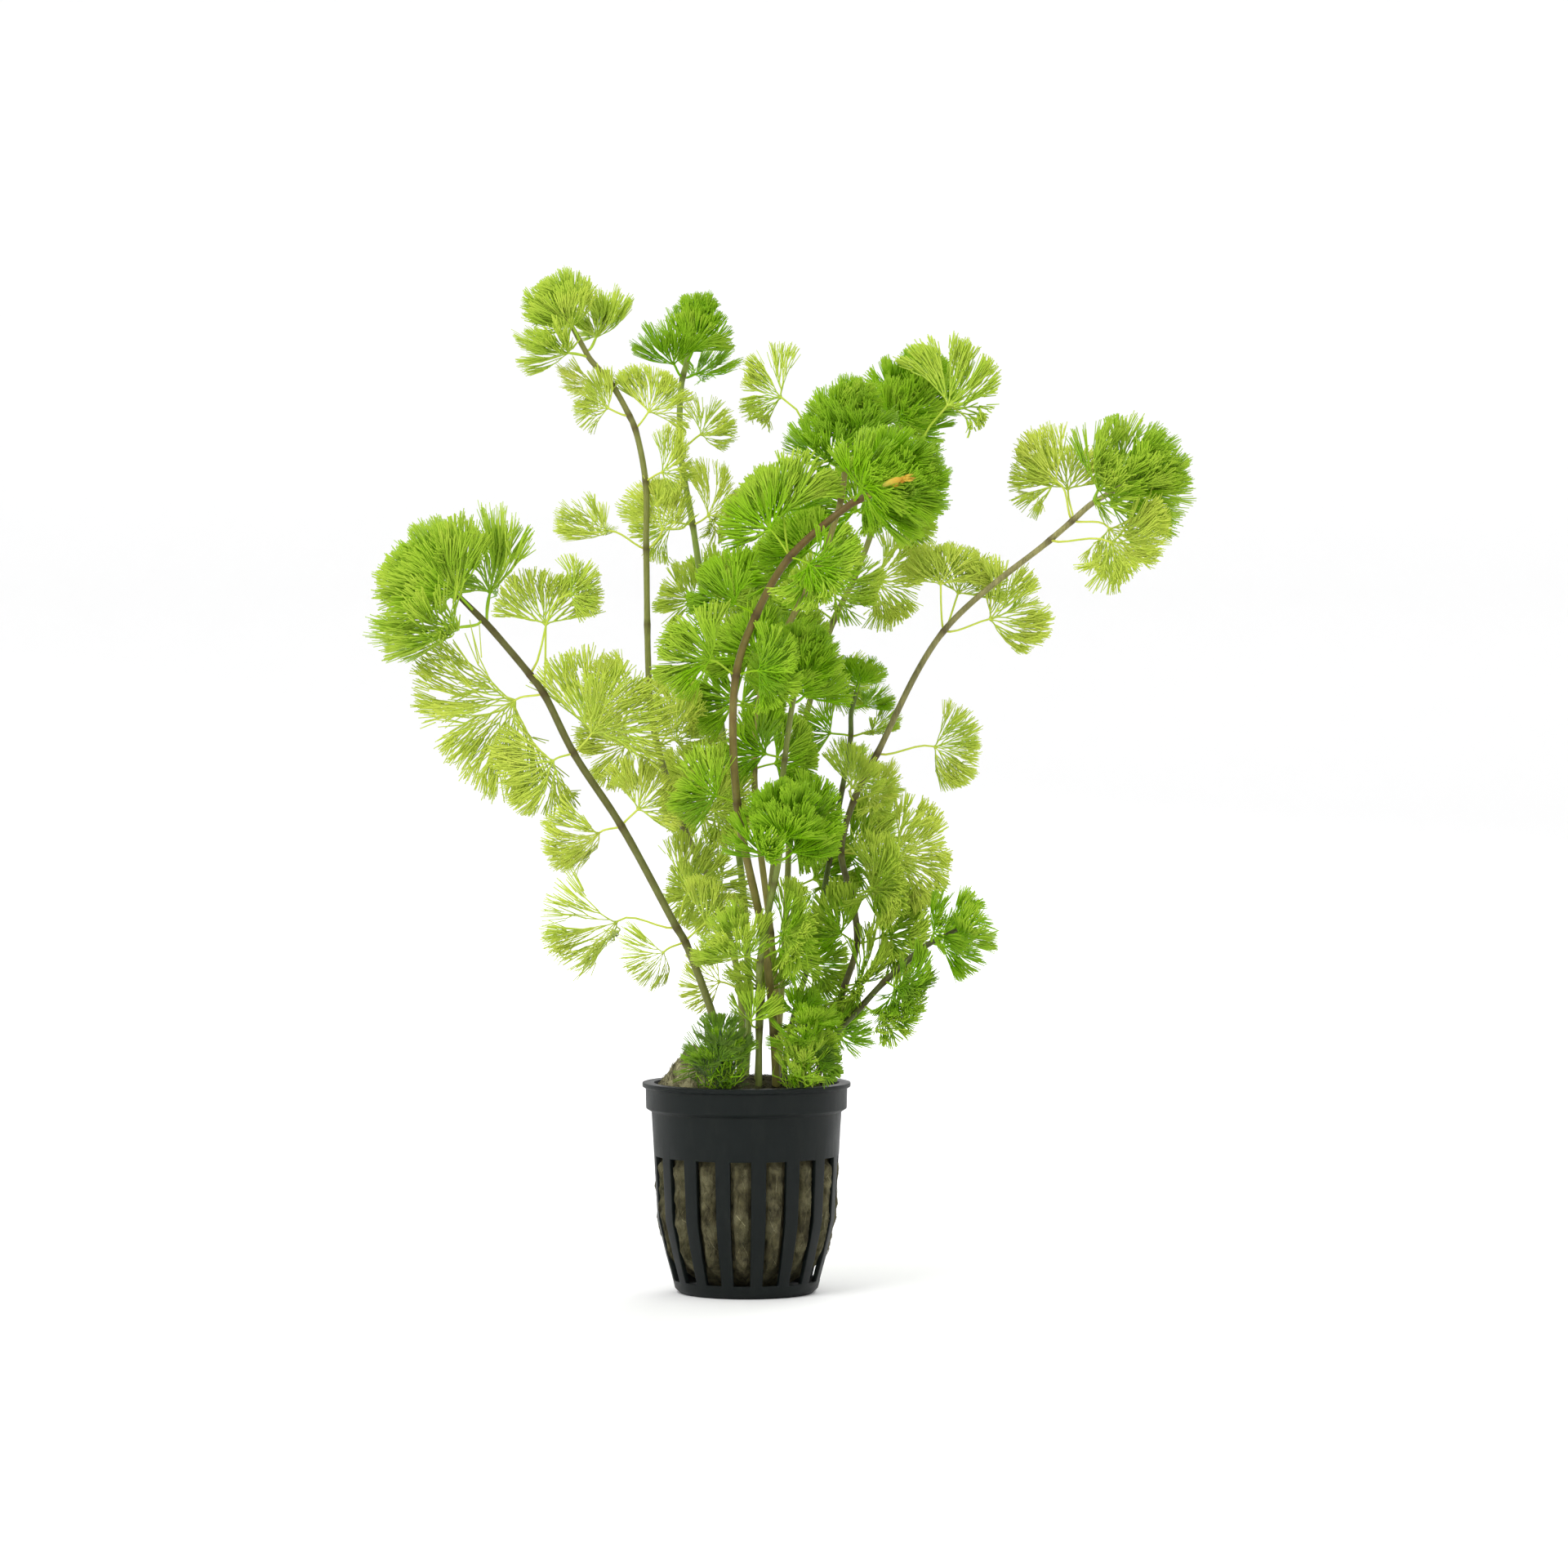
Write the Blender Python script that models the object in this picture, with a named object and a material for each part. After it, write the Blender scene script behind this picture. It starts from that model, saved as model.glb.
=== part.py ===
"""A cabomba plant in its net pot: thirteen leafy shoots planted in a plug of rock wool.

Run with: blender --background --python part.py, or from Blender's text editor.
Metres, +Z up. The origin is the middle of the pot's foot, on the surface that the pot stands on.
The side that faces -Y is the front, and +X is to its right.
"""

import itertools
import math

import bmesh
import bpy
from mathutils import Matrix, Vector
from mathutils.bvhtree import BVHTree

# Net pot: a moulded basket with a closed collar, upright ribs and an open floor.
POT_HEIGHT = 0.0505
LIP_RADIUS = 0.0250
LIP_SKIRT_RADIUS = 0.0242
COLLAR_RADIUS = 0.0228
COLLAR_FOOT_RADIUS = 0.0222
COLLAR_FOOT_HEIGHT = 0.0330
FOOT_RADIUS = 0.0160
POT_WALL = 0.0012
FLOOR_DISC_RADIUS = 0.0030
FLOOR_HUB_RADIUS = 0.0065
FLOOR_RING_RADIUS = 0.0130
RIB_COUNT = 16
RIB_ANGLE = math.radians(9.5)
FIRST_RIB_ANGLE = math.radians(-82.0)

# Rock wool plug: stands on the pot's floor, narrows to its foot, shows in the slots and domes at the top.
PLAY = 0.0003
WOOL_FOOT_RADIUS = 0.0085
WOOL_WAIST = (0.0135, 0.0058)
WOOL_SHOULDER_HEIGHT = 0.0106
WOOL_EDGE_HEIGHT = 0.0482
WOOL_CROWN = 0.0030
WOOL_BULGE = 0.0003
WOOL_TUFT_AT = Vector((-0.0125, -0.0050))
WOOL_TUFT_HEIGHT = 0.0060
WOOL_TUFT_WIDTH = 0.0046

# Shoots: each stands in a socket in the wool.
STEM_SIDES = 6
STEM_FOOT_HEIGHT = 0.0400
RING_SPACING = 0.0260
JOINT_HEIGHT = 0.0010
SOCKET_TOP = 0.0560
SOCKET_CLEARANCE = 0.0004

# Leaves: a stalk, and a dished fan of two lobes.
STALK_WIDTH = 0.0010
STALK_HEIGHT = 0.0009
HUB_THICKNESS = 0.0009
RIM_THICKNESS = 0.0005
BLADE_DISH = 0.16
BLADE_CURL = 0.20
NOTCH_SHARE = 0.84
EDGE_SHARE = 0.90
LEAF_FAN = (math.radians(165), 5)
TIP_FAN = (math.radians(132), 5)
CLEARANCE = 0.0004

# Shoot tips: pairs of young leaves close above each other, each pair turned a sixth of a turn.
TIP_PAIR_SPACING = 0.0040
TIP_RISES = (28, 50, 66, 78)
TIP_SHARES = (1.0, 0.90, 0.76, 0.60)
TIP_STALK_SHARE = 0.30
BUD_LENGTH = 0.0035

LEAF_GREEN = (0.22, 0.45, 0.03)
SHOOT_GREEN = (0.16, 0.27, 0.04)
POT_BLACK = (0.020, 0.024, 0.028)
WOOL_BEIGE = (0.34, 0.30, 0.17)

# Each shoot has the route of its stem from its foot in the wool to the foot of its tip, the stem's
# radius, and the tip's aim, the length of its biggest leaves, its pairs of leaves and its spin in degrees.
SHOOTS = {
    "far_left": {
        "route": [(-0.0030, -0.0070, STEM_FOOT_HEIGHT), (-0.0035, -0.0075, 0.0500), (-0.0090, -0.0090, 0.0740),
                  (-0.0165, -0.0110, 0.0880), (-0.0243, -0.0130, 0.1025), (-0.0302, -0.0140, 0.1133),
                  (-0.0404, -0.0170, 0.1290), (-0.0478, -0.0180, 0.1437), (-0.0560, -0.0190, 0.1540),
                  (-0.0610, -0.0200, 0.1600)],
        "radius": 0.00115, "aim": (-0.85, -0.10, 0.85), "tip_leaf": 0.0215, "pairs": 3, "spin": 10,
    },
    "tall_left": {
        "route": [(-0.0020, 0.0040, STEM_FOOT_HEIGHT), (-0.0015, 0.0050, 0.0500), (-0.0018, 0.0070, 0.0750),
                  (-0.0057, 0.0090, 0.0907), (-0.0149, 0.0120, 0.1103), (-0.0214, 0.0140, 0.1300),
                  (-0.0235, 0.0160, 0.1417), (-0.0245, 0.0180, 0.1670), (-0.0245, 0.0200, 0.1890),
                  (-0.0254, 0.0210, 0.2020), (-0.0285, 0.0220, 0.2110), (-0.0330, 0.0220, 0.2190),
                  (-0.0385, 0.0220, 0.2255)],
        "radius": 0.00100, "aim": (-0.55, -0.10, 1.00), "tip_leaf": 0.0138, "pairs": 3, "spin": 0,
    },
    "back_left": {
        "route": [(-0.0010, 0.0120, STEM_FOOT_HEIGHT), (-0.0005, 0.0140, 0.0500), (0.0005, 0.0190, 0.0750),
                  (-0.0010, 0.0240, 0.0950), (-0.0035, 0.0290, 0.1150), (-0.0070, 0.0350, 0.1400),
                  (-0.0106, 0.0400, 0.1650), (-0.0130, 0.0430, 0.1820), (-0.0160, 0.0450, 0.1980),
                  (-0.0172, 0.0460, 0.2120), (-0.0164, 0.0465, 0.2210)],
        "radius": 0.00105, "aim": (0.25, 0.10, 1.00), "tip_leaf": 0.0126, "pairs": 4, "spin": 20,
    },
    "front_bent": {
        "route": [(0.0075, -0.0090, STEM_FOOT_HEIGHT), (0.0075, -0.0105, 0.0500), (0.0055, -0.0150, 0.0750),
                  (0.0025, -0.0205, 0.0970), (-0.0020, -0.0260, 0.1180), (-0.0034, -0.0290, 0.1340),
                  (-0.0022, -0.0320, 0.1480), (0.0025, -0.0340, 0.1620), (0.0100, -0.0360, 0.1750),
                  (0.0180, -0.0375, 0.1820), (0.0250, -0.0380, 0.1880)],
        "radius": 0.00120, "aim": (0.95, -0.10, 0.45), "tip_leaf": 0.0150, "pairs": 3, "spin": 30,
    },
    "middle": {
        "route": [(0.0080, 0.0040, STEM_FOOT_HEIGHT), (0.0080, 0.0050, 0.0500), (0.0070, 0.0070, 0.0750),
                  (0.0040, 0.0080, 0.1000), (0.0020, 0.0090, 0.1200), (0.0024, 0.0090, 0.1380),
                  (0.0073, 0.0090, 0.1560), (0.0130, 0.0080, 0.1660), (0.0180, 0.0070, 0.1760),
                  (0.0220, 0.0060, 0.1870), (0.0235, 0.0055, 0.1960)],
        "radius": 0.00100, "aim": (0.10, -0.15, 1.00), "tip_leaf": 0.0145, "pairs": 4, "spin": 15,
    },
    "back_right": {
        "route": [(0.0060, 0.0120, STEM_FOOT_HEIGHT), (0.0070, 0.0140, 0.0500), (0.0090, 0.0190, 0.0800),
                  (0.0105, 0.0240, 0.1100), (0.0125, 0.0270, 0.1330), (0.0170, 0.0310, 0.1480),
                  (0.0210, 0.0330, 0.1610), (0.0263, 0.0350, 0.1720), (0.0306, 0.0360, 0.1830),
                  (0.0335, 0.0370, 0.1950), (0.0365, 0.0380, 0.2065)],
        "radius": 0.00095, "aim": (0.40, 0.05, 1.00), "tip_leaf": 0.0140, "pairs": 4, "spin": 54,
    },
    "far_right": {
        "route": [(0.0150, 0.0020, STEM_FOOT_HEIGHT), (0.0160, 0.0020, 0.0500), (0.0225, 0.0030, 0.0700),
                  (0.0265, 0.0040, 0.0830), (0.0255, 0.0050, 0.0940), (0.0228, 0.0060, 0.1050),
                  (0.0240, 0.0060, 0.1120), (0.0282, 0.0060, 0.1240), (0.0345, 0.0060, 0.1340),
                  (0.0423, 0.0070, 0.1505), (0.0472, 0.0070, 0.1584), (0.0540, 0.0080, 0.1645),
                  (0.0620, 0.0080, 0.1720), (0.0727, 0.0090, 0.1803), (0.0830, 0.0090, 0.1893)],
        "radius": 0.00098, "aim": (0.90, -0.20, 0.55), "tip_leaf": 0.0178, "pairs": 3, "spin": 35,
    },
    "slender": {
        "route": [(0.0080, -0.0030, STEM_FOOT_HEIGHT), (0.0085, -0.0020, 0.0500), (0.0122, 0.0010, 0.0720),
                  (0.0167, 0.0060, 0.0850), (0.0200, 0.0130, 0.1030), (0.0225, 0.0180, 0.1170),
                  (0.0250, 0.0220, 0.1300), (0.0254, 0.0230, 0.1390)],
        "radius": 0.00085, "aim": (0.25, 0.10, 1.00), "tip_leaf": 0.0085, "pairs": 2, "spin": 0,
    },
    "low_right": {
        "route": [(0.0140, -0.0060, STEM_FOOT_HEIGHT), (0.0155, -0.0065, 0.0500), (0.0205, -0.0080, 0.0610),
                  (0.0278, -0.0100, 0.0696), (0.0355, -0.0120, 0.0778), (0.0430, -0.0130, 0.0840)],
        "radius": 0.00095, "aim": (0.95, -0.10, 0.50), "tip_leaf": 0.0110, "pairs": 2, "spin": 20,
    },
    "short_front": {
        "route": [(0.0030, -0.0130, STEM_FOOT_HEIGHT), (0.0035, -0.0140, 0.0500), (0.0030, -0.0180, 0.0750),
                  (0.0050, -0.0250, 0.0920), (0.0075, -0.0280, 0.1030)],
        "radius": 0.00100, "aim": (0.15, -0.25, 1.00), "tip_leaf": 0.0125, "pairs": 3, "spin": 0,
    },
    "short_middle": {
        "route": [(0.0020, -0.0020, STEM_FOOT_HEIGHT), (0.0025, -0.0030, 0.0500), (0.0040, -0.0080, 0.0750),
                  (0.0060, -0.0120, 0.1000), (0.0085, -0.0150, 0.1200), (0.0095, -0.0165, 0.1320),
                  (0.0108, -0.0175, 0.1400)],
        "radius": 0.00090, "aim": (0.20, -0.10, 1.00), "tip_leaf": 0.0125, "pairs": 3, "spin": 25,
    },
    "base_left": {
        "route": [(-0.0060, -0.0150, STEM_FOOT_HEIGHT), (-0.0060, -0.0165, 0.0480), (-0.0060, -0.0195, 0.0550)],
        "radius": 0.00090, "aim": (0.00, -0.50, 1.00), "tip_leaf": 0.0080, "pairs": 2, "spin": 0,
    },
    "base_right": {
        "route": [(0.0125, -0.0145, STEM_FOOT_HEIGHT), (0.0130, -0.0150, 0.0480), (0.0135, -0.0170, 0.0600)],
        "radius": 0.00090, "aim": (0.10, -0.50, 1.00), "tip_leaf": 0.0088, "pairs": 2, "spin": 30,
    },
}

# Full-grown leaves of each shoot: height of the joint, compass direction of the stalk (0 right, 90 back,
# 180 left, 270 front), how far the fan turns from it, rise of the stalk and of the fan, roll of the fan,
# and length of the stalk and of the fan.
LEAVES = {
    "far_left": [
        (0.0845, 205, 0, -20, -45, 60, 0.0045, 0.0110),
        (0.0878, 178, 0, 10, -38, 40, 0.0130, 0.0195),
        (0.0878, 45, 0, 70, 25, 70, 0.0080, 0.0150),
        (0.1120, 190, 0, -10, -38, 40, 0.0040, 0.0160),
        (0.1290, 205, 0, -15, -38, 75, 0.0040, 0.0150),
        (0.1290, 20, 0, 50, 55, 75, 0.0050, 0.0210),
        (0.1437, 183, 0, -8, -36, 85, 0.0055, 0.0255),
        (0.1437, 80, 0, 85, 85, 85, 0.0160, 0.0150),
        (0.1480, 25, 0, 66, 10, 70, 0.0200, 0.0095),
    ],
    "tall_left": [
        (0.1103, 305, 0, 30, 5, 70, 0.0080, 0.0140),
        (0.1300, 195, 0, 15, -20, 60, 0.0060, 0.0140),
        (0.1300, 50, 0, 20, 0, 50, 0.0050, 0.0140),
        (0.1780, 178, 0, 30, 0, 5, 0.0090, 0.0150),
        (0.1780, 20, 0, 60, 55, 60, 0.0050, 0.0140),
        (0.2080, 5, 0, 60, 55, 80, 0.0040, 0.0125),
        (0.2110, 190, 0, 30, 25, 40, 0.0045, 0.0100),
        (0.2185, 185, 0, 15, 5, 40, 0.0040, 0.0105),
    ],
    "back_left": [
        (0.1400, 125, 0, 10, 0, 60, 0.0040, 0.0125),
        (0.1650, 55, 0, 40, 30, 60, 0.0040, 0.0140),
        (0.1850, 325, 0, 30, 35, 60, 0.0035, 0.0140),
        (0.2040, 5, 0, 45, 40, 60, 0.0050, 0.0110),
    ],
    "front_bent": [
        (0.0850, 315, 0, 20, 20, 50, 0.0050, 0.0140),
        (0.1480, 205, 0, 35, 10, 60, 0.0060, 0.0150),
        (0.1750, 130, 0, 80, 72, 80, 0.0090, 0.0170),
    ],
    "middle": [
        (0.1660, 350, 0, 20, -5, 40, 0.0070, 0.0140),
        (0.1760, 225, 0, 20, 10, 55, 0.0040, 0.0140),
        (0.1900, 178, 0, 62, 25, 60, 0.0280, 0.0130),
    ],
    "back_right": [
        (0.1480, 30, 0, -5, -25, 50, 0.0050, 0.0110),
        (0.1720, 350, 0, -5, -8, 75, 0.0040, 0.0150),
        (0.1860, 310, 50, 47, 42, 60, 0.0370, 0.0170),
    ],
    "far_right": [
        (0.0830, 345, 0, 20, 20, 75, 0.0050, 0.0150),
        (0.0830, 225, 0, 30, 20, 50, 0.0050, 0.0130),
        (0.1050, 350, 0, -6, 8, 80, 0.0120, 0.0165),
        (0.1178, 340, 0, 30, 25, 50, 0.0030, 0.0105),
        (0.1178, 260, 90, 50, 55, 75, 0.0040, 0.0110),
        (0.1290, 20, 0, 10, -15, 60, 0.0140, 0.0125),
        (0.1584, 110, 0, 85, 88, 75, 0.0110, 0.0120),
        (0.1584, 80, -60, 60, 50, 75, 0.0110, 0.0135),
        (0.1584, 345, 0, 20, 12, 60, 0.0110, 0.0155),
        (0.1803, 352, 0, 0, -25, 75, 0.0160, 0.0160),
        (0.1850, 170, 0, 72, 25, 50, 0.0090, 0.0145),
    ],
    "slender": [
        (0.1200, 60, 0, 30, 10, 50, 0.0060, 0.0120),
        (0.1330, 350, 0, 20, 10, 30, 0.0040, 0.0095),
    ],
    "low_right": [
        (0.0696, 325, 0, -15, 0, 50, 0.0050, 0.0130),
    ],
    "short_front": [
        (0.0800, 230, 0, 20, 10, 50, 0.0040, 0.0130),
    ],
}

# More leaves, given the same way, whose stalks are fused to the stem.
SIDE_LEAVES = {
    "far_left": [
        (0.0540, 200, 0, 25, 15, 70, 0.0050, 0.0110),
        (0.0845, 350, 0, 45, 40, 70, 0.0050, 0.0120),
        (0.1120, 10, 0, 50, 45, 70, 0.0040, 0.0130),
    ],
    "tall_left": [
        (0.0720, 185, 0, 30, 25, 75, 0.0040, 0.0110),
        (0.0950, 195, 0, 15, 0, 75, 0.0030, 0.0095),
        (0.1103, 20, 0, 30, 20, 70, 0.0040, 0.0130),
        (0.1300, 320, 0, 50, 45, 65, 0.0060, 0.0140),
        (0.1400, 170, 0, 20, 5, 70, 0.0040, 0.0140),
        (0.1950, 350, 0, 30, 15, 70, 0.0040, 0.0120),
    ],
    "back_left": [
        (0.0920, 190, 0, 20, 10, 75, 0.0040, 0.0120),
        (0.1180, 180, 0, 10, -10, 75, 0.0050, 0.0140),
        (0.1400, 5, 0, 10, 0, 70, 0.0040, 0.0130),
        (0.1650, 340, 0, 10, 0, 75, 0.0040, 0.0130),
        (0.1650, 205, 0, 40, 40, 70, 0.0030, 0.0100),
        (0.1850, 190, 0, 15, 10, 75, 0.0035, 0.0120),
    ],
    "front_bent": [
        (0.0850, 200, 0, 10, 0, 70, 0.0050, 0.0120),
        (0.1180, 200, 0, 30, 25, 70, 0.0040, 0.0125),
        (0.1480, 345, 0, 20, 10, 70, 0.0040, 0.0120),
        (0.1620, 190, 0, 30, 30, 70, 0.0040, 0.0130),
        (0.1750, 175, 0, 60, 50, 70, 0.0060, 0.0150),
        (0.1750, 330, 0, -10, -30, 70, 0.0040, 0.0140),
    ],
    "middle": [
        (0.1080, 0, 0, 20, 15, 75, 0.0060, 0.0140),
        (0.1250, 350, 0, 20, 10, 75, 0.0040, 0.0130),
        (0.1400, 180, 0, 20, 20, 70, 0.0040, 0.0140),
        (0.1500, 10, 0, 30, 20, 70, 0.0050, 0.0130),
        (0.1500, 190, 0, 35, 35, 70, 0.0040, 0.0130),
        (0.1660, 175, 0, 60, 45, 70, 0.0050, 0.0140),
        (0.1900, 0, 0, 20, 0, 70, 0.0040, 0.0130),
    ],
    "back_right": [
        (0.0750, 350, 0, 20, 15, 75, 0.0050, 0.0130),
        (0.0950, 355, 0, 30, 25, 70, 0.0060, 0.0140),
        (0.1480, 190, 0, 30, 30, 70, 0.0040, 0.0130),
        (0.1610, 195, 0, 40, 35, 70, 0.0040, 0.0140),
        (0.1860, 180, 0, 30, 30, 70, 0.0040, 0.0140),
        (0.1860, 20, 0, 30, 30, 75, 0.0040, 0.0130),
    ],
    "far_right": [
        (0.0580, 340, 0, 40, 50, 70, 0.0035, 0.0110),
        (0.0730, 340, 0, 15, 10, 70, 0.0040, 0.0140),
        (0.0940, 345, 0, 20, 20, 75, 0.0050, 0.0150),
        (0.1050, 40, 0, 10, 5, 70, 0.0060, 0.0150),
        (0.1850, 95, 0, 50, 80, 75, 0.0100, 0.0130),
        (0.1850, 330, 0, -5, -35, 80, 0.0080, 0.0160),
    ],
    "slender": [
        (0.0600, 300, 0, 40, 40, 60, 0.0040, 0.0120),
        (0.1030, 30, 0, 20, 10, 70, 0.0050, 0.0140),
        (0.1330, 190, 0, 10, 10, 60, 0.0040, 0.0100),
    ],
    "low_right": [
        (0.0600, 50, 0, 40, 40, 60, 0.0040, 0.0110),
        (0.0750, 350, 0, -10, -15, 75, 0.0035, 0.0120),
    ],
    "short_front": [
        (0.0640, 255, 0, 30, 60, 20, 0.0040, 0.0105),
        (0.0800, 350, 0, 30, 30, 60, 0.0040, 0.0120),
    ],
    "short_middle": [
        (0.0700, 300, 0, 40, 60, 30, 0.0040, 0.0110),
        (0.1100, 340, 0, 20, 10, 60, 0.0050, 0.0130),
        (0.1280, 190, 0, 20, 20, 60, 0.0035, 0.0120),
    ],
    "base_right": [
        (0.0540, 10, 0, 45, 40, 70, 0.0030, 0.0100),
    ],
}

# How a leaf may turn aside, in degrees, to grow clear of what is already there.
TURNS = sorted(
    itertools.product((0, 8, -8, 16, -16, 26, -26, 38, -38), (0, 10, -10, 20, -20)),
    key=lambda turn: abs(turn[0]) + 1.5 * abs(turn[1]),
)
SHRINKS = (1.0, 0.92, 0.84, 0.76)
SPINS = range(0, 60, 6)


def clear_scene():
    for obj in list(bpy.data.objects):
        bpy.data.objects.remove(obj, do_unlink=True)


def plain_material(name, colour, roughness):
    material = bpy.data.materials.new(name)
    material.use_nodes = True
    shader = material.node_tree.nodes["Principled BSDF"]
    shader.inputs["Base Color"].default_value = (*colour, 1.0)
    shader.inputs["Roughness"].default_value = roughness
    shader.inputs["Metallic"].default_value = 0.0
    return material


def finish_object(name, bm, material):
    """Turns a bmesh into a named object with its faces pointing out."""
    bmesh.ops.recalc_face_normals(bm, faces=bm.faces)
    bmesh.ops.triangulate(bm, faces=bm.faces)
    mesh = bpy.data.meshes.new(name)
    bm.to_mesh(mesh)
    bm.free()
    mesh.materials.append(material)
    obj = bpy.data.objects.new(name, mesh)
    bpy.context.scene.collection.objects.link(obj)
    return obj


def ring_of(bm, points):
    return [bm.verts.new(point) for point in points]


def bridge(bm, lower, upper):
    """Quads between two closed rings with the same number of corners."""
    count = len(lower)
    for i in range(count):
        j = (i + 1) % count
        bm.faces.new((lower[i], lower[j], upper[j], upper[i]))


# ---------------------------------------------------------------- pot


def pot_profile():
    """Outer line of the pot from the floor's disc to the lip: (radius, height, closed between ribs)."""
    return [
        (FLOOR_DISC_RADIUS, 0.0, True),
        (FLOOR_HUB_RADIUS, 0.0, False),
        (FLOOR_RING_RADIUS, 0.0, True),
        (FOOT_RADIUS, 0.0, True),
        (0.0172, 0.0012, True),
        (0.0177, 0.0032, False),
        (0.0193, 0.0090, False),
        (0.0214, 0.0180, False),
        (COLLAR_FOOT_RADIUS, COLLAR_FOOT_HEIGHT, True),
        (COLLAR_RADIUS, 0.0435, True),
        (LIP_SKIRT_RADIUS - 0.0001, 0.0443, True),
        (LIP_SKIRT_RADIUS, 0.0491, True),
        (LIP_RADIUS, 0.0495, True),
        (LIP_RADIUS, POT_HEIGHT, True),
    ]


def pot_inner(radius, height):
    """The inside of the wall, or the top of the floor, at a point of the outer line."""
    if height == 0.0:
        return min(radius, FOOT_RADIUS - POT_WALL * 0.4), POT_WALL
    if radius > COLLAR_RADIUS:
        return COLLAR_RADIUS - POT_WALL * 0.5, height
    return radius - POT_WALL, max(height, POT_WALL * 1.4)


def sector_angles():
    """Edges of the ribs and slots round the pot: rib, slot, rib, slot and so on."""
    pitch = 2 * math.pi / RIB_COUNT
    starts = [FIRST_RIB_ANGLE - RIB_ANGLE / 2 + pitch * i for i in range(RIB_COUNT)]
    return [angle for start in starts for angle in (start, start + RIB_ANGLE)]


def build_pot(material):
    bm = bmesh.new()
    angles = sector_angles()
    profile = pot_profile()
    sectors = len(angles)
    outer, inner = [], []
    for radius, height, _ in profile:
        inner_radius, inner_height = pot_inner(radius, height)
        outer.append([(radius * math.cos(a), radius * math.sin(a), height) for a in angles])
        inner.append([(inner_radius * math.cos(a), inner_radius * math.sin(a), inner_height) for a in angles])

    def solid(row, sector):
        """Whether the cell between two points of the line and two edges is plastic."""
        if not 0 <= row < len(profile) - 1:
            return False
        return profile[row][2] or sector % 2 == 0

    made = {}

    def corner(side, row, sector):
        key = (side, row, sector % sectors)
        if key not in made:
            made[key] = bm.verts.new((outer if side else inner)[row][sector % sectors])
        return made[key]

    for row, sector in itertools.product(range(len(profile) - 1), range(sectors)):
        if not solid(row, sector):
            continue
        corners = ((row, sector), (row, sector + 1), (row + 1, sector + 1), (row + 1, sector))
        bm.faces.new([corner(True, *c) for c in corners])
        bm.faces.new([corner(False, *c) for c in reversed(corners)])
        beside = ((row - 1, sector), (row, sector + 1), (row + 1, sector), (row, sector - 1))
        for i, (next_row, next_sector) in enumerate(beside):
            if next_row >= 0 and not solid(next_row, next_sector % sectors):
                start, end = corners[i], corners[(i + 1) % 4]
                bm.faces.new((corner(True, *start), corner(False, *start), corner(False, *end), corner(True, *end)))
    bm.faces.new([corner(True, 0, sector) for sector in range(sectors)])
    bm.faces.new([corner(False, 0, sector) for sector in reversed(range(sectors))])
    return finish_object("pot", bm, material)


# ---------------------------------------------------------------- rock wool


def wool_top_height(x, y):
    """Height of the plug's domed top, with the tuft that stands above the rim."""
    share = 1 - (x * x + y * y) / COLLAR_RADIUS**2
    off = (Vector((x, y)) - WOOL_TUFT_AT).length
    tuft = WOOL_TUFT_HEIGHT * math.exp(-0.5 * (off / WOOL_TUFT_WIDTH) ** 2)
    return WOOL_EDGE_HEIGHT + WOOL_CROWN * max(share, 0.0) + tuft


def build_wool(material):
    """A round plug with a ridge in each slot, and a domed top."""
    bm = bmesh.new()
    slot = 2 * math.pi / RIB_COUNT - RIB_ANGLE
    margin = math.radians(1.4)
    first = FIRST_RIB_ANGLE + RIB_ANGLE / 2
    clear = POT_WALL + SOCKET_CLEARANCE

    def section(core, ridge, height):
        """One ring: for each slot, its two edges at the core's radius and the ridge between them."""
        points = []
        for i in range(RIB_COUNT):
            start = first + i * 2 * math.pi / RIB_COUNT
            for angle, radius in ((start + margin, core), (start + slot / 2, ridge), (start + slot - margin, core)):
                points.append((radius * math.cos(angle), radius * math.sin(angle), height))
        return points

    line = {height: radius for radius, height, _ in pot_profile() if height > 0.004}
    waist_radius, waist_height = WOOL_WAIST
    rings = [section(WOOL_FOOT_RADIUS, WOOL_FOOT_RADIUS, POT_WALL + PLAY)]
    rings.append(section(waist_radius, waist_radius, waist_height))
    rings.append(section(line[0.0090] - clear, line[0.0090] + WOOL_BULGE, WOOL_SHOULDER_HEIGHT))
    rings.append(section(line[0.0180] - clear, line[0.0180] + WOOL_BULGE, 0.0180))
    rings.append(section(COLLAR_FOOT_RADIUS - clear, COLLAR_FOOT_RADIUS + WOOL_BULGE, COLLAR_FOOT_HEIGHT - 0.0016))
    rings.append(section(COLLAR_FOOT_RADIUS - clear, COLLAR_FOOT_RADIUS - clear, COLLAR_FOOT_HEIGHT - 0.0005))
    rings.append(section(COLLAR_RADIUS - clear, COLLAR_RADIUS - clear, 0.0435))
    flat = section(COLLAR_RADIUS * 0.6, COLLAR_RADIUS * 0.6, 0.0)
    rings.append([(x, y, wool_top_height(x, y)) for x, y, _ in flat])
    made = [ring_of(bm, points) for points in rings]
    for lower, upper in itertools.pairwise(made):
        bridge(bm, lower, upper)
    bm.faces.new(reversed(made[0]))
    middle = bm.verts.new((0.0, 0.0, wool_top_height(0.0, 0.0)))
    for i, vert in enumerate(made[-1]):
        bm.faces.new((vert, made[-1][(i + 1) % len(made[-1])], middle))
    return finish_object("rock_wool", bm, material)


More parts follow.
